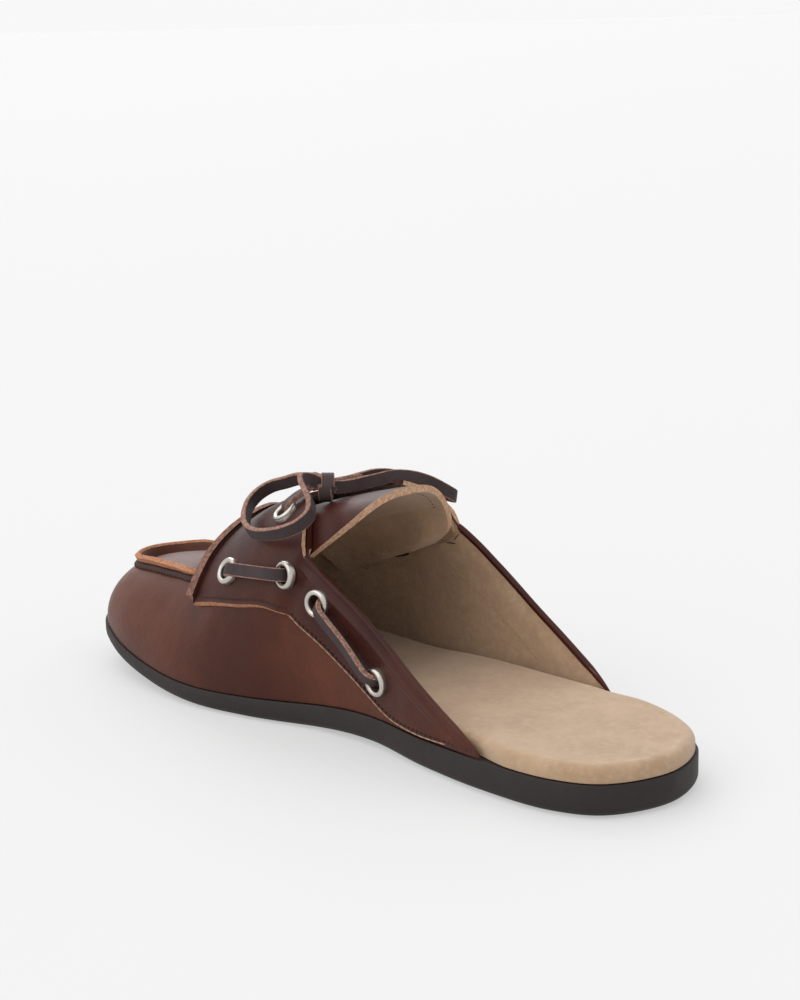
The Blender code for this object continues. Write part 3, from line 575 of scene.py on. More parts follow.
def pull_up(name, dark, body, warm, patches, roughness):
    """Waxed pull-up leather: a dark brown whose wax is rubbed off to a warm colour in patches, with a fine
    grain of pores and faint wrinkles."""
    m = Finish(name, roughness=roughness, coat=0.02, specular=0.20)
    cloud = m.noise(38, 3)
    tone = m.mix(m.between(cloud, 0.35, 0.68), dark, body)
    speck = m.noise(1500, 3, 0.7)
    for centre, radius, soft, share in patches:
        mask = m.near(centre, radius, soft) * share * (0.62 + 0.6 * m.noise(230, 4))
        tone = m.mix(mask, tone, warm)
    m.color(m.mix(m.between(speck, 0.40, 0.72) * 0.22, tone, dark))
    m.rough(roughness - 0.05 + 0.16 * m.noise(160, 4))
    m.bump((m.cells(1500), 0.00005), (m.noise(420, 5, 0.6), 0.00010), (m.noise(90, 2), 0.0002))
    return m.material


def raw_cut(name, color, deep):
    """The raw cut edge of leather: fibres and pits."""
    m = Finish(name, roughness=0.85, specular=0.25)
    fibre = m.noise(900, 5, 0.7)
    m.color(m.mix(m.between(fibre, 0.34, 0.64), deep, color))
    m.bump((fibre, 0.0004), (m.cells(1260), 0.0002))
    return m.material


def nap(name, color, deep, pale):
    """Tan suede: a short nap with clouds of lighter and darker brushing."""
    m = Finish(name, roughness=0.95, sheen=0.35, specular=0.15)
    cloud = m.noise(60, 4, 0.6)
    fine = m.noise(1700, 4, 0.8)
    mid = m.noise(420, 4, 0.65)
    tone = m.mix(m.between(cloud, 0.3, 0.7), deep, color)
    tone = m.mix(m.between(mid, 0.42, 0.72) * 0.5, tone, pale)
    m.color(m.mix(m.between(fine, 0.45, 0.75) * 0.35, tone, deep))
    m.bump((fine, 0.00022), (mid, 0.00018))
    return m.material


def rubber():
    """Dark brown rubber, matt, with a fine pitting."""
    m = Finish("sole_rubber", roughness=0.62, specular=0.4)
    fine = m.noise(900, 4, 0.6)
    m.color(m.mix(fine, (0.0085, 0.0056, 0.0048), (0.0200, 0.0130, 0.0112)))
    m.rough(0.5 + 0.25 * m.noise(120, 3))
    m.bump((fine, 0.00008))
    return m.material


def metal():
    """Satin nickel with faint turning marks and handling wear."""
    m = Finish("satin_nickel", roughness=0.3, metallic=1.0)
    m.color(m.mix(m.noise(300, 3), (0.40, 0.37, 0.33), (0.66, 0.63, 0.58)))
    m.rough(0.20 + 0.22 * m.noise(700, 4))
    m.bump((m.noise(900, 2), 0.00003))
    return m.material


def thread(name, color, deep):
    """Waxed thread."""
    m = Finish(name, roughness=0.6)
    m.color(m.mix(m.noise(1800, 2), deep, color))
    m.bump((m.noise(2500, 2), 0.0001))
    return m.material


DARK_BROWN = (0.037, 0.0072, 0.0040)
BROWN = (0.074, 0.0160, 0.0078)
WARM = (0.170, 0.050, 0.018)
# Where the wax is rubbed off: the middle of each patch, its radius, how soft its edge is, and its strength
VAMP_PATCHES = (
    ((0.085, 0.047, 0.024), 0.022, 0.022, 0.62),
    ((0.062, 0.044, 0.018), 0.020, 0.016, 0.40),
    ((0.195, 0.028, 0.034), 0.030, 0.026, 0.35),
    ((0.150, 0.055, 0.030), 0.030, 0.026, 0.22),
    ((0.085, -0.047, 0.024), 0.030, 0.022, 0.55),
    ((0.190, -0.028, 0.034), 0.030, 0.026, 0.30),
)
VAMP_LEATHER = pull_up("vamp_leather", DARK_BROWN, BROWN, WARM, VAMP_PATCHES, 0.36)
SADDLE_PATCHES = (
    ((0.030, 0.036, 0.020), 0.024, 0.018, 0.22),
    ((0.112, 0.040, 0.046), 0.020, 0.016, 0.14),
)
SADDLE_DARK = (0.030, 0.0058, 0.0038)
SADDLE_BROWN = (0.056, 0.0112, 0.0066)
SADDLE_LEATHER = pull_up("saddle_leather", SADDLE_DARK, SADDLE_BROWN, WARM, SADDLE_PATCHES, 0.40)
ORANGE_EDGE = raw_cut("orange_cut_edge", (0.50, 0.235, 0.130), (0.29, 0.115, 0.060))
PINK_EDGE = raw_cut("pink_cut_edge", (0.30, 0.155, 0.115), (0.13, 0.060, 0.044))
TAN_EDGE = raw_cut("tan_cut_edge", (0.58, 0.37, 0.235), (0.36, 0.21, 0.125))
SUEDE = nap("tan_suede", (0.450, 0.305, 0.190), (0.375, 0.246, 0.150), (0.520, 0.366, 0.242))
RUBBER = rubber()
NICKEL = metal()
THONG_FACE = pull_up("thong_face", (0.036, 0.0235, 0.0240), (0.064, 0.0430, 0.0440), WARM, (), 0.55)
THONG_EDGE = raw_cut("thong_edge", (0.36, 0.205, 0.155), (0.17, 0.085, 0.064))
DARK_THREAD = thread("dark_thread", (0.030, 0.010, 0.008), (0.012, 0.005, 0.004))
WHIP_THREAD = thread("whip_thread", (0.060, 0.020, 0.013), (0.020, 0.007, 0.005))
LIGHT_THREAD = thread("light_thread", (0.42, 0.26, 0.15), (0.24, 0.13, 0.07))

# Sole and footbed

SOLE_STEPS = 150  # from the heel's back to the toe's tip
SOLE_CROWN = 0.0005  # the bevel of the sole's upper edge


def plate(name, levels, columns, material):
    """A solid stacked from outlines. Each level has its distance in from the sole's edge and its height,
    both functions, and the height takes x and how far across the sole the point lies, 0 to 1."""
    steps = SOLE_STEPS
    even = np.linspace(0, 1, steps + 1)
    shares = 0.6 * (0.5 - 0.5 * np.cos(np.pi * even)) + 0.4 * even  # closer at the heel and the toe
    across = np.concatenate([np.zeros(steps + 1), np.ones(steps - 1)])
    ring = 2 * steps
    outlines = []
    for set_in, height in levels:
        sides = [edge_point(s, "share", shares, set_in(edge_point(s, "share", shares)[:, 0])) for s in (0, 1)]
        loop = np.concatenate([sides[0], sides[1][-2:0:-1]])
        outlines.append(np.column_stack([loop, height(loop[:, 0], across)]))
    points = np.concatenate(outlines)
    index = np.arange(len(points)).reshape(len(levels), ring)
    faces = grid_faces(np.concatenate([index, index[:, :1]], 1)).reshape(-1, 4).tolist()
    share = np.linspace(0, 1, columns + 1)[1:-1]
    middle = np.arange(1, steps)
    for level in (0, len(levels) - 1):
        start, end = index[level][middle], index[level][ring - middle]
        plan = points[start, None, :2] * (1 - share)[:, None] + points[end, None, :2] * share[:, None]
        height = levels[level][1](plan[..., 0], share[None] + 0 * plan[..., 0])
        inside = np.concatenate([plan, height[..., None]], -1)
        number = np.arange(inside.shape[0] * inside.shape[1]).reshape(inside.shape[:2]) + len(points)
        points = np.concatenate([points, inside.reshape(-1, 3)])
        rows = np.concatenate([start[:, None], number, end[:, None]], 1)
        faces += grid_faces(rows).reshape(-1, 4).tolist()
        for tip, row in ((index[level][0], rows[0]), (index[level][steps], rows[-1])):
            faces += [[int(tip), int(a), int(b)] for a, b in zip(row[:-1], row[1:])]
    return new_object(name, points, faces, np.zeros(len(faces)), [material])


def outsole():
    """The rubber sole: a tread set in from its edge, a rounded lower edge and an upright side."""
    r = SOLE_EDGE_ROUND
    levels = []
    for degrees in np.linspace(0, 90, 9):
        turn = math.radians(degrees)
        set_in, up = r * (1 - math.sin(turn)), 0.75 * r * (1 - math.cos(turn))
        levels.append((lambda x, s=set_in: np.full_like(x, s), lambda x, a, u=up: tread_height(x) + u))
    levels.append((np.zeros_like, lambda x, a: sole_top(x) - SOLE_CROWN))
    levels.append((lambda x: np.full_like(x, SOLE_CROWN * 0.6), lambda x, a: sole_top(x)))
    obj = plate("rubber_sole", levels, 24, RUBBER)
    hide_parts("outsole")


def footbed_set_in(x):
    """Close to the sole's edge round the heel, and inside the vamp from the wings forward."""
    inside = UPPER_SET_IN + VAMP_WALL + 3 * GAP
    return FOOTBED_SET_IN + (inside - FOOTBED_SET_IN) * eased((station(x) - WING_FROM + 0.05) / 0.07)


def footbed_thickness(x):
    return smooth(
        (0.0, 0.3, 0.6, 1.0),
        (FOOTBED_AT_HEEL, FOOTBED_AT_HEEL, (FOOTBED_AT_HEEL + FOOTBED_AT_TOE) / 2, FOOTBED_AT_TOE),
        station(x),
    )


def footbed():
    """The padded footbed: a plate with a rounded upper edge and a shallow dish."""
    levels = [(footbed_set_in, lambda x, a: sole_top(x) + GAP)]
    for degrees in np.linspace(0, 90, 10):
        turn = math.radians(degrees)

        def set_in(x, turn=turn):
            return footbed_set_in(x) + FOOTBED_EDGE_ROUND * (1 - math.cos(turn))

        def height(x, across, turn=turn):
            round_height = np.minimum(FOOTBED_EDGE_ROUND, 0.8 * footbed_thickness(x))
            top = sole_top(x) + GAP + footbed_thickness(x)
            dish = FOOTBED_DISH * np.sin(math.pi * across) if turn > 1.5 else 0.0
            return top - round_height * (1 - math.sin(turn)) - dish

        levels.append((set_in, height))
    obj = plate("suede_footbed", levels, 30, SUEDE)
    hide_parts("footbed")


outsole()
footbed()

# Upper

Seam = namedtuple("Seam", "along inner outer")
SEAM = [Seam(*row) for row in (
    (0.700, 0.460, 0.460),
    (0.750, 0.420, 0.420),
    (0.800, 0.360, 0.370),
    (0.850, 0.330, 0.340),
    (0.900, 0.325, 0.335),
    (0.950, 0.355, 0.360),
    (0.985, 0.395, 0.395),
    (1.000, 0.410, 0.410),
)]
Top = namedtuple("Top", "foot along around")
VAMP_INNER = [Top(*row) for row in (
    (0.195, 0.190, 0.998),
    (0.250, 0.250, 0.952),
    (0.290, 0.290, 0.917),
    (0.332, 0.332, 0.872),
    (0.385, 0.385, 0.803),
    (0.440, 0.434, 0.728),
    (0.505, 0.503, 0.560),
    (0.530, 0.515, 0.434),
    (0.560, 0.542, 0.230),
    (0.610, 0.600, 0.300),
    (0.660, 0.655, 0.470),
)]
VAMP_OUTER = [Top(*row) for row in (
    (0.220, 0.215, 0.998),
    (0.250, 0.250, 0.958),
    (0.281, 0.281, 0.934),
    (0.310, 0.310, 0.900),
    (0.348, 0.348, 0.850),
    (0.405, 0.405, 0.745),
    (0.465, 0.463, 0.584),
    (0.500, 0.480, 0.445),
    (0.545, 0.515, 0.240),
    (0.600, 0.595, 0.300),
    (0.655, 0.655, 0.470),
)]
Band = namedtuple("Band", "edge_along edge_around throat_along throat_around")
SADDLE_INNER = [Band(*row) for row in (
    (0.200, 0.999, 0.191, 0.9965),
    (0.300, 0.997, 0.270, 0.936),
    (0.370, 0.985, 0.340, 0.862),
    (0.430, 0.933, 0.400, 0.781),
    (0.485, 0.848, 0.460, 0.670),
    (0.524, 0.772, 0.505, 0.552),
    (0.565, 0.725, 0.517, 0.424),
    (0.610, 0.700, 0.544, 0.205),
    (0.660, 0.665, 0.562, 0.165),
    (0.701, 0.640, 0.580, 0.130),
    (0.703, 0.500, 0.597, 0.098),
    (0.706, 0.370, 0.612, 0.066),
    (0.700, 0.200, 0.628, 0.033),
)]
SADDLE_RIDGE = Band(0.688, 0.000, 0.640, 0.000)
SADDLE_OUTER = [Band(*row) for row in (
    (0.223, 0.999, 0.216, 0.9965),
    (0.300, 0.997, 0.281, 0.928),
    (0.365, 0.978, 0.348, 0.842),
    (0.430, 0.905, 0.405, 0.740),
    (0.475, 0.830, 0.437, 0.660),
    (0.505, 0.760, 0.465, 0.574),
    (0.550, 0.728, 0.482, 0.430),
    (0.600, 0.700, 0.515, 0.210),
    (0.655, 0.665, 0.545, 0.170),
    (0.695, 0.640, 0.570, 0.135),
    (0.698, 0.500, 0.592, 0.100),
    (0.701, 0.370, 0.610, 0.066),
    (0.698, 0.200, 0.628, 0.033),
)]
Tongue = namedtuple("Tongue", "around end front")
TONGUE = [Tongue(*row) for row in (
    (0.540, 0.512, 0.700),
    (0.440, 0.478, 0.715),
    (0.330, 0.455, 0.720),
    (0.200, 0.444, 0.725),
    (0.060, 0.440, 0.725),
    (-0.080, 0.440, 0.725),
    (-0.220, 0.446, 0.725),
    (-0.350, 0.452, 0.720),
    (-0.450, 0.458, 0.715),
    (-0.520, 0.464, 0.712),
    (-0.575, 0.476, 0.708),
    (-0.612, 0.500, 0.700),
)]
Eyelet = namedtuple("Eyelet", "name along around")
EYELETS = [Eyelet(*row) for row in (
    ("inner_front", 0.638, 0.540),
    ("inner_corner", 0.527, 0.616),
    ("inner_collar", 0.472, 0.736),
    ("inner_wing", 0.371, 0.930),
    ("inner_throat", 0.573, 0.280),
    ("outer_front", 0.632, -0.540),
    ("outer_corner", 0.500, -0.620),
    ("outer_collar", 0.442, -0.750),
    ("outer_wing", 0.358, -0.925),
    ("outer_throat", 0.560, -0.290),
)]
EYELET_SEAT = 0.0006  # a flat ring stands this far over the curved leather
EYELET_PLACES = {e.name: (e.along, e.around) for e in EYELETS}
HOLE_CUT = 0.0038  # the leather is open this far from the middle of an eyelet, under its flange

# The creases of the worn leather, each a soft trough, or a ridge where its depth is negative, along a
# stretch of the surface. Places are along and around, sizes in metres.
Crease = namedtuple("Crease", "along around to_along to_around width depth")
SADDLE_CREASES = [Crease(*row) for row in (
    (0.500, 0.600, 0.524, 0.780, 0.0030, 0.0009),
    (0.512, 0.560, 0.545, 0.740, 0.0040, -0.0007),
    (0.400, 0.850, 0.330, 0.930, 0.0030, 0.0004),
    (0.300, 0.950, 0.250, 0.975, 0.0030, 0.0004),
    (0.600, 0.640, 0.680, 0.600, 0.0050, 0.0004),
    (0.465, -0.600, 0.500, -0.780, 0.0030, 0.0008),
    (0.390, -0.850, 0.330, -0.930, 0.0030, 0.0004),
)]
VAMP_CREASES = [Crease(*row) for row in (
    (0.560, 0.900, 0.640, 0.800, 0.0080, 0.0005),
    (0.700, 0.700, 0.780, 0.620, 0.0070, 0.0005),
    (0.700, -0.700, 0.780, -0.620, 0.0070, 0.0005),
    (0.450, 0.950, 0.540, 0.880, 0.0080, 0.0004),
)]
AROUND_REACH = 0.085  # about how long the surface is from its ridge to the sole


def relief(along, around, creases):
    """How far the creases move the surface: each sinks it by its depth along its stretch, and less beside
    it, as a bell curve of the distance."""
    total = np.zeros(np.broadcast(along, around).shape)
    place = np.stack(np.broadcast_arrays(along * SOLE_LENGTH, around * AROUND_REACH), -1)
    for c in creases:
        start = np.array([c.along * SOLE_LENGTH, c.around * AROUND_REACH])
        way = np.array([c.to_along * SOLE_LENGTH, c.to_around * AROUND_REACH]) - start
        share = np.clip(((place - start) @ way) / (way @ way), 0, 1)
        distance = np.linalg.norm(place - start - share[..., None] * way, axis=-1)
        total -= c.depth * bell(distance, c.width)
    return total


def open_at_eyelets(points):
    """Which cells of a grid are there: those that lie further than the cut from every eyelet."""
    middle = (points[:-1, :-1] + points[1:, :-1] + points[1:, 1:] + points[:-1, 1:]) / 4
    keep = np.ones(middle.shape[:2], bool)
    for along, around in EYELET_PLACES.values():
        centre = upper(along, around, SADDLE_LIFT)
        keep &= np.linalg.norm(middle - centre, axis=-1) > HOLE_CUT
    return keep


VAMP_STEPS = 10
VAMP_CORNERS = (6, 8, 10)
SEAM_STEPS = 14
SEAM_ROWS = [(reach_of(s.along), s.inner, s.outer) for s in SEAM]
COLLAR_VAMP = 0.0009  # the vamp's thickness where the collar's binding folds over it
COLLAR_SADDLE = 0.0009  # how high the saddle's face lies there
COLLAR_SKIVE = 0.0050  # how wide the vamp is thinned along its collar
WING_THIN = 0.20  # the thickness of a wing's tip, as a share of the whole
THINNEST = 0.0003


def from_the_wings(table, steps):
    """How many rows of a side's table each row of the whole lies from the nearer wing's tip."""
    row = np.arange(len(table), dtype=float)
    return np.minimum(row, row[::-1]) / steps


def wing_share(from_wing):
    """How thick a wing is as a share of its full thickness: thin at its tip, full one row of the table on."""
    return WING_THIN + (1 - WING_THIN) * eased(from_wing / 1.1)[:, None]


def vamp():
    """The vamp from wing to wing around the toe, leather outside and suede inside."""
    margin = APRON_WALL + 3 * GAP
    halves = []
    for tops, side, sign in ((VAMP_INNER, "inner", 1), (VAMP_OUTER, "outer", -1)):
        rows = [(reach_of(t.foot), reach_of(t.along), t.around) for t in tops]
        for s in SEAM:
            below = float(moved(s.along, getattr(s, side), margin))
            rows.append((reach_of(s.along), reach_of(s.along), below))
        halves.append(filled(rows, VAMP_STEPS, VAMP_CORNERS) * (1, 1, sign))
    table = np.concatenate([halves[0], halves[1][-2::-1]])
    share = np.linspace(0, 1, 81)[None]
    reach = table[:, :1] * (1 - share) + table[:, 1:2] * share
    around = np.sign(table[:, 2:]) * (1 - share) + table[:, 2:] * share
    along = np.sin(reach * math.pi / 2)
    lift = relief(along, around, VAMP_CREASES)
    outer = upper(along, around, lift)
    from_wing = from_the_wings(table, VAMP_STEPS)
    to_top = np.linalg.norm(outer - outer[:, -1:], axis=-1)
    on_collar = (from_wing < VAMP_CORNERS[0] + 0.5)[:, None]
    skived = (VAMP_WALL - COLLAR_VAMP) * bell(to_top, COLLAR_SKIVE) * on_collar
    inner = upper(along, around, lift - np.maximum(VAMP_WALL * wing_share(from_wing) - skived, THINNEST))
    rims = (LINING_SLOT, LEATHER_SLOT, LEATHER_SLOT, LEATHER_SLOT)
    obj = shell("lined_vamp", outer, inner, [VAMP_LEATHER, SUEDE], LEATHER_SLOT, LINING_SLOT, rims)
    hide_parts("vamp")


APRON_BACK = 0.665
APRON_BACK_IN = 0.06  # how much nearer to the ridge the apron's back corners lie than the seam
RIM_FROM, RIM_FULL = 0.722, 0.750  # the turned edge rises between these stations, in front of the saddle
RIM_BAND = 0.0022  # how much of the rim's outer side is raw
FAR_RIM = 0.30  # how high the rim stands on the outer side, behind the toe, as a share of the inner side


def apron():
    """The apron inside the moccasin seam, its edge turned up so that the raw cut looks outwards."""
    back = (reach_of(APRON_BACK), SEAM[0].inner - APRON_BACK_IN, SEAM[0].outer - APRON_BACK_IN)
    table = filled([back, *SEAM_ROWS], SEAM_STEPS)
    along = np.sin(table[:, :1] * math.pi / 2)
    rise = eased((along - RIM_FROM) / (RIM_FULL - RIM_FROM))
    top = RIM_HEIGHT + 0.0006
    share = np.linspace(0, 1, 31)[None] ** 1.4
    halves = []
    for column, sign in ((1, 1), (2, -1)):
        seam = sign * table[:, column : column + 1]
        out = onward(along, seam, 0.0, sign * 0.004)
        up = outwards(along, seam)
        base = upper(along, seam)
        low = 1 if sign > 0 else 1 - (1 - FAR_RIM) * np.clip((0.95 - along) / 0.08, 0, 1)

        def at(side, lift):
            return base + out * side + up * (lift * low * rise - APRON_SUNK * (1 - rise))[..., None]

        around = seam * (1 - share)
        face = upper(along, around, -APRON_SUNK - 0.0004 * np.sin(math.pi * share) * rise)
        under = upper(along, around, -APRON_SUNK - APRON_WALL)
        fold = under[:, :1] + out * APRON_WALL * rise[..., None]
        inside = [at(0.0002, top - 0.0003), at(-0.0001, top - 0.0012), at(0.0, 0.0010)]
        outside = [at(0.0007, top), at(0.0022, top - 0.0005), at(0.0021, top - RIM_BAND)]
        halves.append((np.concatenate([*inside, face], 1), np.concatenate([*outside, fold, under[:, 1:]], 1)))
    outer, inner = (np.concatenate([halves[0][k], halves[1][k][:, -2::-1]], 1) for k in (0, 1))
    columns = outer.shape[1] - 1
    out_slots = np.full((1, columns), LEATHER_SLOT)
    out_slots[:, [0, -1]] = CUT_SLOT
    in_slots = np.full((1, columns), LINING_SLOT)
    in_slots[:, [0, 1, -1, -2]] = CUT_SLOT
    in_slots[:, [2, -3]] = LEATHER_SLOT
    rims = (CUT_SLOT, CUT_SLOT, LEATHER_SLOT, None)
    materials = [VAMP_LEATHER, SUEDE, ORANGE_EDGE]
    obj = shell("moccasin_apron", outer, inner, materials, out_slots, in_slots, rims)
    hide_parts("apron")


SADDLE_STEPS = 12
LIP_FROM = 9  # the row of the saddle's lower front corner: from it the front edge is turned up
SADDLE_CORNERS = (5, 7, 9)
COLLAR_BEAD = 0.0004  # the height of the bead along the collar
COLLAR_BEAD_IN = 0.0036  # how far it lies from the collar's edge
EDGE_GROOVE = 0.0002  # the depth of the groove along the saddle's cut edges
EDGE_GROOVE_IN = 0.0011  # how far it lies from them


def saddle_lift(along, around, from_wing):
    """How high the saddle's face lies over the upper's surface: thin at the tips of the wings, with its
    creases."""
    return SADDLE_LIFT * wing_share(from_wing) + relief(along, around, SADDLE_CREASES)


def saddle_cut(from_wing):
    """How far the raw cut of the saddle's edge slopes: thin along a wing, and wide along the lower edge."""
    wide = np.clip((from_wing - SADDLE_CORNERS[0] + 0.3) * 2, 0, 1)
    wide = wide * np.clip((LIP_FROM - from_wing) * 3, 0, 1)
    return 0.0006 * (from_wing < LIP_FROM) * np.clip(from_wing, 0, 1) + 0.0004 * wide


def saddle_table():
    """The saddle's rows from the inner wing's tip over the ridge to the outer wing's tip."""
    inner = filled([*SADDLE_INNER, SADDLE_RIDGE], SADDLE_STEPS, SADDLE_CORNERS)
    outer = filled([*SADDLE_OUTER, SADDLE_RIDGE], SADDLE_STEPS, SADDLE_CORNERS) * (1, -1, 1, -1)
    return np.concatenate([inner, outer[-2::-1]])


def saddle():
    """The saddle with its wings and facings, one layer over the vamp. Its front edge is turned up, a bead
    runs along its collar, and its cut edges are raw."""
    table = saddle_table()
    from_wing = from_the_wings(table, SADDLE_STEPS)
    turned_up = np.clip((from_wing - LIP_FROM) * 4, 0, 1)[:, None]
    slope = saddle_cut(from_wing)[:, None]
    even = np.linspace(0, 1, 61)[None]
    share = 0.5 - 0.3 * np.cos(math.pi * even) - 0.2 * (1 - 2 * even)
    edge_along, edge_around = table[:, :1], table[:, 1:2]
    cut_around = moved(edge_along, edge_around, -slope)
    along = table[:, :1] * (1 - share) + table[:, 2:3] * share
    around = cut_around * (1 - share) + table[:, 3:] * share
    under_around = edge_around * (1 - share) + table[:, 3:] * share
    lift = saddle_lift(along, around, from_wing)
    face = upper(along, around, lift)
    collar = np.linalg.norm(face - face[:, -1:], axis=-1)
    on_collar = np.clip((SADDLE_CORNERS[0] + 0.5 - from_wing) * 2, 0, 1)[:, None]
    bead = COLLAR_BEAD * bell(collar - COLLAR_BEAD_IN, 0.0007) * on_collar * wing_share(from_wing)
    skived = (SADDLE_LIFT - COLLAR_SADDLE) * bell(collar, 0.0028) * on_collar
    skived = np.minimum(skived, np.maximum(lift - 0.0008, 0))
    edge = np.linalg.norm(face - face[:, :1], axis=-1)
    groove = EDGE_GROOVE * bell(edge - EDGE_GROOVE_IN, 0.0005)
    not_turned = np.clip((LIP_FROM - from_wing) * 3, 0, 1)[:, None]
    face_lift = lift + bead - skived - groove * not_turned
    face = upper(along, around, face_lift)
    forward = onward(edge_along, edge_around, 0.002, 0.0) * turned_up[..., None]
    base = upper(edge_along, edge_around)
    up = outwards(edge_along, edge_around)

    def at(ahead, height, flat):
        lift = SADDLE_LIFT + height * turned_up + flat * (1 - turned_up)
        return base + forward * ahead + up * lift[..., None]

    raised = turned_up[..., None]
    lip = [at(-0.0006, LIP_HEIGHT - 0.0012, 0.0), at(0.0002, 0.0010, 0.0)]
    lip = [face[:, :1] * (1 - raised) + point * raised for point in lip]
    wall = SADDLE_WALL * wing_share(from_wing)
    under = upper(along, under_around, np.maximum(face_lift - wall, 0.0002))
    front = [at(0.0016, LIP_HEIGHT + 0.0002, -SADDLE_WALL), at(0.0018, LIP_HEIGHT * 0.4, -SADDLE_WALL)]
    front = [under[:, :1] * (1 - raised) + point * raised for point in front]
    fold = under[:, :1] + forward * SADDLE_WALL
    outer = np.concatenate([*lip, face], 1)
    inner = np.concatenate([*front, fold, under[:, 1:]], 1)
    cells = from_wing[:-1]
    edge_slot = np.where(cells < LIP_FROM, CUT_SLOT, CUT_SLOT_TWO)
    edge_slot[cells < SADDLE_CORNERS[0]] = CUT_SLOT_THREE
    on_throat = (cells > SADDLE_CORNERS[0] - 0.1) & (cells < SADDLE_CORNERS[1])
    throat_slot = np.where(on_throat, CUT_SLOT_THREE, LEATHER_SLOT)
    rims = (edge_slot, throat_slot, LEATHER_SLOT, LEATHER_SLOT)
    materials = [SADDLE_LEATHER, SUEDE, ORANGE_EDGE, PINK_EDGE, TAN_EDGE]
    in_slots = np.full((1, inner.shape[1] - 1), LINING_SLOT)
    in_slots[:, :2] = LEATHER_SLOT
    keep = open_at_eyelets(outer)
    obj = shell("saddle_band", outer, inner, materials, LEATHER_SLOT, in_slots, rims, keep)
    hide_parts("saddle")


TONGUE_HANG = 0.0040  # how far the tongue's free side stands off the lining
TONGUE_STEPS = 8


def tongue():
    """The tongue, leather outside and suede inside, with a raw rounded end."""
    table = filled(TONGUE, TONGUE_STEPS)
    share = np.linspace(0, 1, 41)[None]
    along = table[:, 1:2] * (1 - share) + table[:, 2:] * share
    around = table[:, :1] + 0 * share
    hang = np.clip((-around - 0.36) / 0.21, 0, 1) ** 1.3 * np.clip((0.680 - along) / 0.08, 0, 1)
    under_apron = 0.0007 * np.clip((along - 0.635) / 0.03, 0, 1)
    lift = -VAMP_WALL - 2 * GAP - TONGUE_HANG * hang * np.clip(share * 6, 0, 1) - under_apron
    outer, inner = upper(along, around, lift), upper(along, around, lift - TONGUE_WALL)
    rims = (CUT_SLOT, LINING_SLOT, CUT_SLOT, LINING_SLOT)
    materials = [SADDLE_LEATHER, SUEDE, TAN_EDGE]
    obj = shell("tongue_leather", outer, inner, materials, LEATHER_SLOT, LINING_SLOT, rims)
    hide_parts("tongue")


def collar_binding():
    """The leather folded over each side of the collar: a half round along the line where the saddle and the
    vamp end, narrowing to the wing's tip."""
    turn = np.linspace(-math.pi / 2, math.pi / 2, 9)
    for side, rows in (("inner", SADDLE_INNER), ("outer", SADDLE_OUTER)):
        sign = 1 if side == "inner" else -1
        table = filled(rows[: SADDLE_CORNERS[0] + 1], SEAM_STEPS)
        along, around = table[:, 2], sign * table[:, 3]
        centre = upper(along, around)
        out = unit(outwards(along, around))
        away = -unit(onward(along, around, 0.0, sign * 0.004))
        top, bottom = COLLAR_SADDLE + 0.0002, -COLLAR_VAMP - 0.0002
        middle, half = (top + bottom) / 2, (top - bottom) / 2
        profile = [(0.0009 * math.cos(t), middle + half * math.sin(t)) for t in turn]
        profile = np.array([*profile, (-0.0014, top - 0.0001), (-0.0014, bottom + 0.0001)])
        size = (0.30 + 0.70 * np.clip(run_along(centre) / 0.012, 0, 1))[:, None, None]
        rings = swept(centre, away, out, size * profile)
        obj = tube(f"collar_binding_{side}", rings, [0] * len(profile), [SADDLE_LEATHER], angle=60)


vamp()
apron()
saddle()
tongue()
collar_binding()

# Eyelets

EYELET_LEAN = {"inner_corner": 0.24}  # how far an eyelet is tipped to the toe by the leather's crease
BARREL_WALL = 0.0004


def eyelets():
    """Each eyelet: a rounded flange on the leather and a barrel through it, turned about its axis."""
    r_in, r_out = EYELET_HOLE_RADIUS, EYELET_OUTER_RADIUS
    middle, half = (r_in + r_out) / 2, (r_out - r_in) / 2
    turn = np.linspace(0, math.pi, 11)
    flange = [(middle + half * math.cos(t), EYELET_SEAT + 0.0013 * math.sin(t) ** 0.8) for t in turn]
    depth, wall = SADDLE_LIFT + 0.0006, BARREL_WALL
    profile = np.array([*flange, (r_in, -depth), (r_in + wall, -depth), (r_in + wall, -wall), (r_out, -wall)])
    angle = np.arange(48) * 2 * math.pi / 48
    for name, (along, around) in EYELET_PLACES.items():
        centre = upper(along, around, SADDLE_LIFT)
        ahead = unit(onward(along, around, 0.002, 0.0))
        out = unit(unit(outwards(along, around)) + EYELET_LEAN.get(name, 0.0) * ahead)
        side = unit(np.cross(out, ahead))
        ahead = np.cross(side, out)
        spoke = np.cos(angle)[:, None] * ahead + np.sin(angle)[:, None] * side
        rings = centre + spoke[:, None] * profile[:, :1] + out * profile[:, 1:]
        obj = tube("ring_" + name, rings, [0] * len(profile), [NICKEL], closed=True, angle=60)
        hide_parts("eyelet_" + name)


eyelets()

# Lace

FACE, EDGE = 0, 1
HALF_WIDTH, HALF_THICK = LACE_WIDTH / 2, LACE_THICKNESS / 2
CORNER = 0.0003
THONG_PROFILE = (
    (-HALF_WIDTH, -HALF_THICK + CORNER),
    (-HALF_WIDTH + CORNER, -HALF_THICK),
    (HALF_WIDTH - CORNER, -HALF_THICK),
    (HALF_WIDTH, -HALF_THICK + CORNER),
    (HALF_WIDTH, HALF_THICK - CORNER),
    (HALF_WIDTH - CORNER, HALF_THICK),
    (-HALF_WIDTH + CORNER, HALF_THICK),
    (-HALF_WIDTH, HALF_THICK - CORNER),
)
THONG_SLOTS = [EDGE, FACE, EDGE, EDGE, EDGE, FACE, EDGE, EDGE]


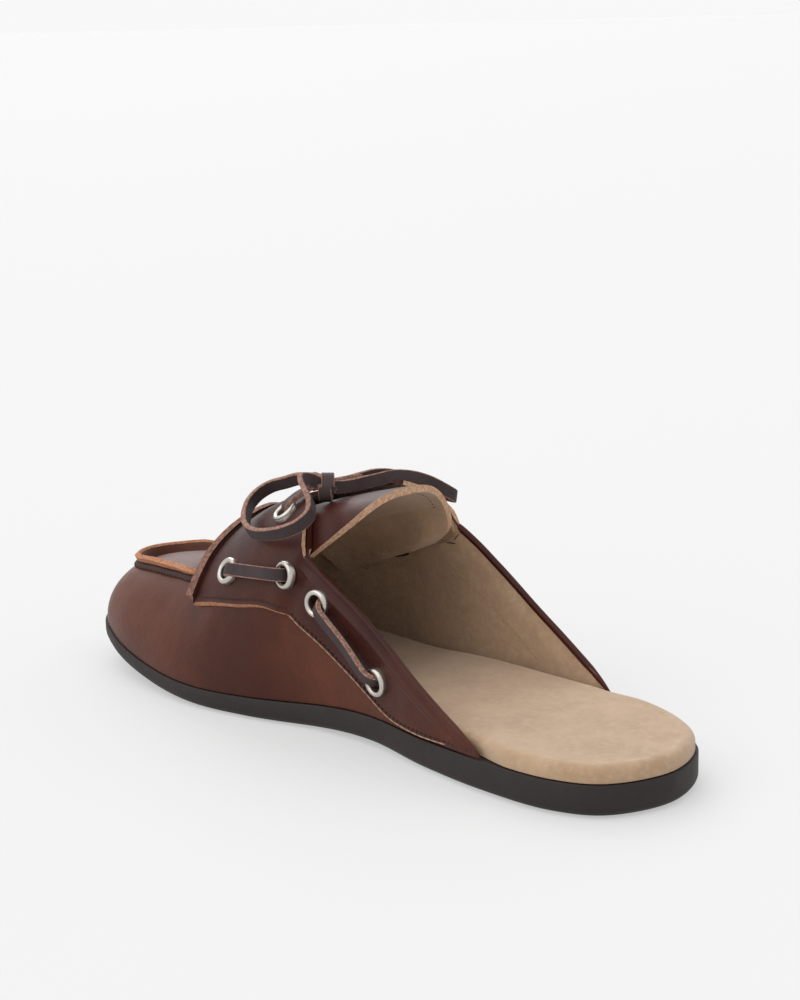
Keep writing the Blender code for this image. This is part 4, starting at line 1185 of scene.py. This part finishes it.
def thong(name, route, out, spacing=0.0006):
    """A flat thong along a route. Out is the way that its face looks, one for each point of the route."""
    both = resample(np.concatenate([np.asarray(route, float), np.asarray(out, float) * 1e-9], 1), spacing)
    centre, face = both[:, :3], unit(both[:, 3:] * 1e9)
    ahead = unit(np.gradient(centre, axis=0))
    across = unit(np.cross(face, ahead))
    face = np.cross(ahead, across)
    rings = swept(centre, across, face, THONG_PROFILE)
    return tube(name, rings, THONG_SLOTS, [THONG_FACE, THONG_EDGE], angle=30)


# Half of a bar: how far along it lies, how high over the saddle, and how far its face is turned outwards
HALF_BAR = (
    (0.00, -0.0040, 0), (0.00, -0.0010, 0), (0.03, 0.0012, 0.4), (0.10, 0.0028, 0.8),
    (0.20, 0.0029, 1), (0.35, 0.0026, 1), (0.50, 0.0024, 1),
)


def bar(name, start, end, roll=0.0):
    """The thong on the outside of the saddle between two eyelets, straight from one to the other. Roll turns
    its face down towards the sole."""
    a, b = EYELET_PLACES[start], EYELET_PLACES[end]
    route, faces = [], []
    for share, lift, lean in [*HALF_BAR, *((1 - s, up, turn) for s, up, turn in HALF_BAR[-2::-1])]:
        along, around = (a[k] + (b[k] - a[k]) * share for k in (0, 1))
        up = unit(outwards(along, around))
        ends = [upper(*place, SADDLE_LIFT) for place in (a, b)]
        chord = ends[0] * (1 - share) + ends[1] * share
        sink = min(0.0, float((chord - upper(along, around, SADDLE_LIFT)) @ up))
        route.append(chord + up * (lift - sink))
        back = unit(upper(*a) - upper(*b)) * (1 if share < 0.5 else -1)
        down = unit(onward(along, around, 0.0, 0.002 if around > 0 else -0.002))
        face = up * math.cos(roll) + down * math.sin(roll)
        faces.append(unit(face * lean + back * (1 - lean)))
    obj = thong(name + "_thong", route, faces)
    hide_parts(name)


bar("lace_inner_front", "inner_front", "inner_corner")
bar("lace_inner_collar", "inner_collar", "inner_wing", 0.32)
bar("lace_outer_front", "outer_front", "outer_corner")
bar("lace_outer_collar", "outer_collar", "outer_wing", 0.5)

# The bow, in millimetres: the thong's middle line, as in the part's source
KNOT_CENTRE = (106.5, 10.0, 76.7)
BOW_INNER_LOOP = (
    (107.0, 9.8, 78.2), (112.0, 8.8, 78.6), (117.5, 6.2, 77.3), (122.5, 5.2, 76.5), (127.5, 5.2, 75.6),
    (132.0, 6.6, 74.0), (136.3, 9.0, 72.5), (137.8, 13.2, 70.6), (137.1, 17.8, 68.3), (133.4, 22.8, 66.4),
    (127.7, 28.0, 64.8), (120.0, 32.6, 64.0), (112.2, 34.8, 64.4), (105.0, 35.2, 65.8), (98.6, 34.0, 67.8),
    (94.6, 31.6, 70.2), (93.8, 28.4, 72.8), (96.4, 25.6, 75.2), (100.8, 23.2, 77.4), (106.0, 20.6, 79.2),
    (109.6, 17.2, 80.2), (109.0, 13.6, 79.4), (106.6, 10.6, 77.6),
)
BOW_INNER_ACROSS = (0.15, 0.42, 0.895)
BOW_OUTER_LOOP = (
    (105.8, 9.0, 76.8), (105.0, 5.0, 76.2), (104.8, 0.0, 75.9), (104.3, -5.0, 76.1), (103.2, -10.0, 76.4),
    (101.2, -15.0, 77.0), (98.4, -20.0, 76.4), (94.2, -24.5, 74.6), (90.4, -28.8, 71.4), (89.8, -32.6, 68.8),
    (92.8, -34.6, 68.0), (96.8, -32.8, 69.0), (100.4, -28.6, 71.2), (103.4, -23.6, 73.5), (106.0, -18.4, 76.0),
    (107.6, -13.0, 76.8), (108.2, -7.5, 76.6), (108.4, -2.0, 76.3), (108.4, 3.6, 76.4), (107.4, 9.0, 76.8),
)
BOW_OUTER_ACROSS = (0.12, -0.30, 0.946)


def loop(name, node, route, across, knot):
    """A loop of the bow: the thong stands on its edge, and its width runs across."""
    points = np.array(route) / 1000
    ahead = np.gradient(points, axis=0)
    obj = thong(name, points, unit(np.cross(ahead, np.array(across))))
    path = resample(points, 0.002)
    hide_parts(node)


WRAP_STEPS = 40
WRAP_DRIFT = 0.0012  # how far a band moves along its axis while it is wound


def wrap(name, axis, radii, turns=1.0):
    """A band of thong wound about an axis through the knot as an oval, its width along the axis."""
    turn = np.linspace(0, turns * 2 * math.pi, WRAP_STEPS)
    axis, along = np.array(axis), -np.array(CAMERA_LOOK)
    along = unit(along - axis * (along @ axis))
    up = np.cross(axis, along)
    spoke = np.cos(turn)[:, None] * along * radii[0] + np.sin(turn)[:, None] * up * radii[1]
    drift = np.linspace(-0.5, 0.5, WRAP_STEPS)[:, None] * axis * WRAP_DRIFT
    return thong(name, np.array(KNOT_CENTRE) / 1000 + spoke + drift, unit(spoke))


def bow():
    """The knot is a band about the strands, with a second band crossed over it."""
    knot = wrap("knot_band", CAMERA_RIGHT, (0.0030, 0.0040))
    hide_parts("bow_knot")
    core = wrap("knot_core", (0.35, 0.55, 0.75), (0.0016, 0.0018), 1.4)
    loop("bow_loop_inner_thong", "bow_loop_inner", BOW_INNER_LOOP, BOW_INNER_ACROSS, knot)
    loop("bow_loop_outer_thong", "bow_loop_outer", BOW_OUTER_LOOP, BOW_OUTER_ACROSS, knot)


STRANDS_MEET = 0.553  # the station at which the strands reach the ridge, under the knot


def throat_strands():
    """The thong from each throat eyelet up to the knot."""
    for side, eyelet in ((1, "inner_throat"), (-1, "outer_throat")):
        along, around = EYELET_PLACES[eyelet]
        base = upper(along, around, SADDLE_LIFT)
        up = unit(outwards(along, around))
        goal = np.array(KNOT_CENTRE) / 1000 + np.array([0.002, side * 0.003, 0.0])
        way = unit(goal - base)
        route = [base - up * 0.004, base - up * 0.001, base + up * 0.0015 + way * 0.0008]
        faces = [unit(-way), unit(-way), unit(up - way * 0.5)]
        for share in (0.25, 0.45, 0.65, 0.85, 1.0):
            ridge = upper(along + (STRANDS_MEET - along) * share, around * (1 - share), SADDLE_LIFT + 0.0022)
            route.append(ridge * (1 - share**3) + goal * share**3)
            faces.append(unit(outwards(along, around * (1 - share))))
        obj = thong(f"throat_strand_{'inner' if side > 0 else 'outer'}", route, faces)
        if side > 0:
            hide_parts("lace_throat")


bow()
throat_strands()

# Stitches


def stitch_line(along, around, lift, pitch, skip=0.0):
    """Places at an even pitch along a line on the surface, with the way ahead and the way out."""
    points = upper(along, around, lift)
    run = run_along(points)
    at = np.arange(skip, run[-1] - skip, pitch)
    a, b = np.interp(at, run, along), np.interp(at, run, around)
    place = upper(a, b, np.interp(at, run, np.broadcast_to(lift, along.shape)))
    ahead = np.stack([np.interp(at + 0.0004, run, c) - np.interp(at - 0.0004, run, c) for c in points.T], -1)
    return place, ahead, outwards(a, b)


# A row of stitches runs from one of the saddle's rows to another, this far from its edge
Row = namedtuple("Row", "name first last inset pitch skip size thread")
SADDLE_ROWS = [Row(*row) for row in (
    ("stitches_wing", 0, SADDLE_CORNERS[0], -0.0014, 0.0020, 0.001, (0.00070, 0.00024, 0.00026), DARK_THREAD),
    (
        "stitches_lower", SADDLE_CORNERS[0], LIP_FROM, -0.0026, 0.0013, 0.001,
        (0.00040, 0.00032, 0.00030), DARK_THREAD,
    ),
    ("wing_edge", 0.5, SADDLE_CORNERS[0], -0.0006, 0.0030, 0.0005, (0.00170, 0.00026, 0.00022), LIGHT_THREAD),
)]


def saddle_stitches():
    """The rows along the saddle's lower edges and along its wings, and the thin raw edge of each wing."""
    table = saddle_table()
    half = len(table) // 2
    for side, rows in (("inner", table[: half + 1]), ("outer", table[half:][::-1])):
        for row in SADDLE_ROWS:
            number = np.arange(int(row.first * SADDLE_STEPS), row.last * SADDLE_STEPS + 1)
            along, around = rows[number, 0], moved(*rows[number, :2].T, row.inset)
            lift = saddle_lift(along[:, None], around[:, None], number / SADDLE_STEPS)[:, 0]
            place, ahead, out = stitch_line(along, around, lift, row.pitch, row.skip)
            obj = beads(f"{row.name}_{side}", place, ahead, out, row.size, row.thread)


WHIP_UNDER_SEAM = 0.0026  # how far under the seam the whip stitches lie
WHIP_FROM = RIM_FROM + 0.004


def whip_stitches():
    """The short slanted stitches that sew the apron's turned edge to the vamp."""
    table = filled(SEAM_ROWS, SEAM_STEPS)
    along = np.sin(table[:, 0] * math.pi / 2)
    front = along > WHIP_FROM
    for side, column, sign in (("inner", 1, 1), ("outer", 2, -1)):
        around = sign * moved(along, table[:, column], WHIP_UNDER_SEAM)
        place, ahead, out = stitch_line(along[front], around[front], 0.0003, 0.0021)
        down = unit(np.cross(out, ahead)) + 0.55 * unit(ahead)
        size = (0.00170, 0.00082, 0.00120)
        obj = beads(f"whip_stitches_{side}", place, down, out, size, WHIP_THREAD, 6, 8)


# Places, along and around, of the row of stitches in the lining
LINING_ROW = ((0.512, 0.690), (0.461, 0.800), (0.399, 0.896), (0.340, 0.968))


def lining_stitches():
    """The row through each side's lining, beside its collar, and the row round the tongue's end."""
    line = resample(np.array(LINING_ROW), 0.004)
    for side, sign in (("inner", 1), ("outer", -1)):
        along, around = line[:, 0], sign * line[:, 1]
        place, ahead, out = stitch_line(along, around, -VAMP_WALL - 0.00004, 0.0022, 0.001)
        obj = beads(f"lining_stitches_{side}", place, ahead, out, (0.00080, 0.00022, 0.00020), LIGHT_THREAD)
    table = filled(TONGUE, TONGUE_STEPS)
    table = table[(table[:, 0] < 0.42) & (table[:, 0] > -0.50)]
    along, around = table[:, 1] + 0.018, table[:, 0]
    lift = -VAMP_WALL - 2 * GAP - TONGUE_WALL - 0.00005
    place, ahead, out = stitch_line(along, around, lift, 0.0019, 0.002)
    obj = beads("tongue_stitches", place, ahead, out, (0.00035, 0.00028, 0.00018), DARK_THREAD)


Strand = namedtuple("Strand", "along around to_along to_around lift half_width material")
# Rows 0, 2 and 3, the wide dark strands along the tongue's free edge, are painted shade for the gap under it;
# the thin strands are loose thread ends
FRAYED_AND_GAP_SHADE = [Strand(*row) for row in (
    (0.688, -0.585, 0.676, -0.640, -0.0021, 0.00080, DARK_THREAD),
    (0.680, -0.640, 0.668, -0.672, -0.0022, 0.00035, LIGHT_THREAD),
    (0.640, -0.612, 0.600, -0.640, -0.0022, 0.00090, DARK_THREAD),
    (0.612, -0.640, 0.575, -0.652, -0.0022, 0.00070, DARK_THREAD),
    (0.505, -0.635, 0.478, -0.612, -0.0023, 0.00022, LIGHT_THREAD),
    (0.490, -0.628, 0.470, -0.640, -0.0025, 0.00020, DARK_THREAD),
    (0.484, -0.606, 0.462, -0.600, -0.0026, 0.00020, LIGHT_THREAD),
    (0.478, -0.590, 0.455, -0.575, -0.0027, 0.00022, LIGHT_THREAD),
    (0.472, -0.622, 0.458, -0.590, -0.0028, 0.00018, DARK_THREAD),
)]


def frayed_ends_and_gap_shade():
    """Loose thread ends under the tongue, and wide dark strips along its free edge that are painted shade for
    the
    gap between the tongue and the lining: long grains between two places."""
    for number, s in enumerate(FRAYED_AND_GAP_SHADE):
        ends = upper(np.array([s.along, s.to_along]), np.array([s.around, s.to_around]), s.lift)
        way = (ends[1] - ends[0])[None]
        out = outwards(s.along, s.around)[None]
        size = (float(np.linalg.norm(way)) / 2, s.half_width, min(s.half_width, 0.00035))
        obj = beads(f"loose_thread_{number}", ends.mean(0)[None], way, out, size, s.material, 10, 10)


saddle_stitches()
whip_stitches()
lining_stitches()
frayed_ends_and_gap_shade()

# Stage

FLOOR_GREY, FLOOR_GLOW = 0.34, 0.435  # the glow keeps the shadow beside the sole nearly white
SURROUND_GREY = 0.94


def stage():
    """A pale floor, a pale surround and soft studio light."""
    bpy.ops.mesh.primitive_plane_add(size=400, location=(0, 0, -0.0002))
    floor = bpy.context.object
    floor.name = "floor"
    m = Finish("floor_paint", roughness=0.9, specular=0.1)
    m.color((FLOOR_GREY,) * 3)
    m.surface.inputs["Emission Color"].default_value = (1, 1, 1, 1)
    m.surface.inputs["Emission Strength"].default_value = FLOOR_GLOW
    floor.data.materials.append(m.material)
    world = bpy.data.worlds.new("studio")
    bpy.context.scene.world = world
    world.use_nodes = True
    sky = world.node_tree.nodes["Background"]
    sky.inputs["Color"].default_value = (*(SURROUND_GREY,) * 3, 1)
    sky.inputs["Strength"].default_value = 1.0
    bpy.context.scene.view_settings.view_transform = "Standard"
    for name, way, angle, power in (
        ("key", (0.35, 0.75, 1.0), 70, 1.05),
        ("back", (0.9, -0.55, 0.75), 40, 0.95),
    ):
        light = bpy.data.lights.new(name, "SUN")
        light.energy = power
        light.angle = math.radians(angle)
        lamp = bpy.data.objects.new(name, light)
        bpy.context.scene.collection.objects.link(lamp)
        lamp.rotation_euler = Vector(way).to_track_quat("Z", "Y").to_euler()


stage()
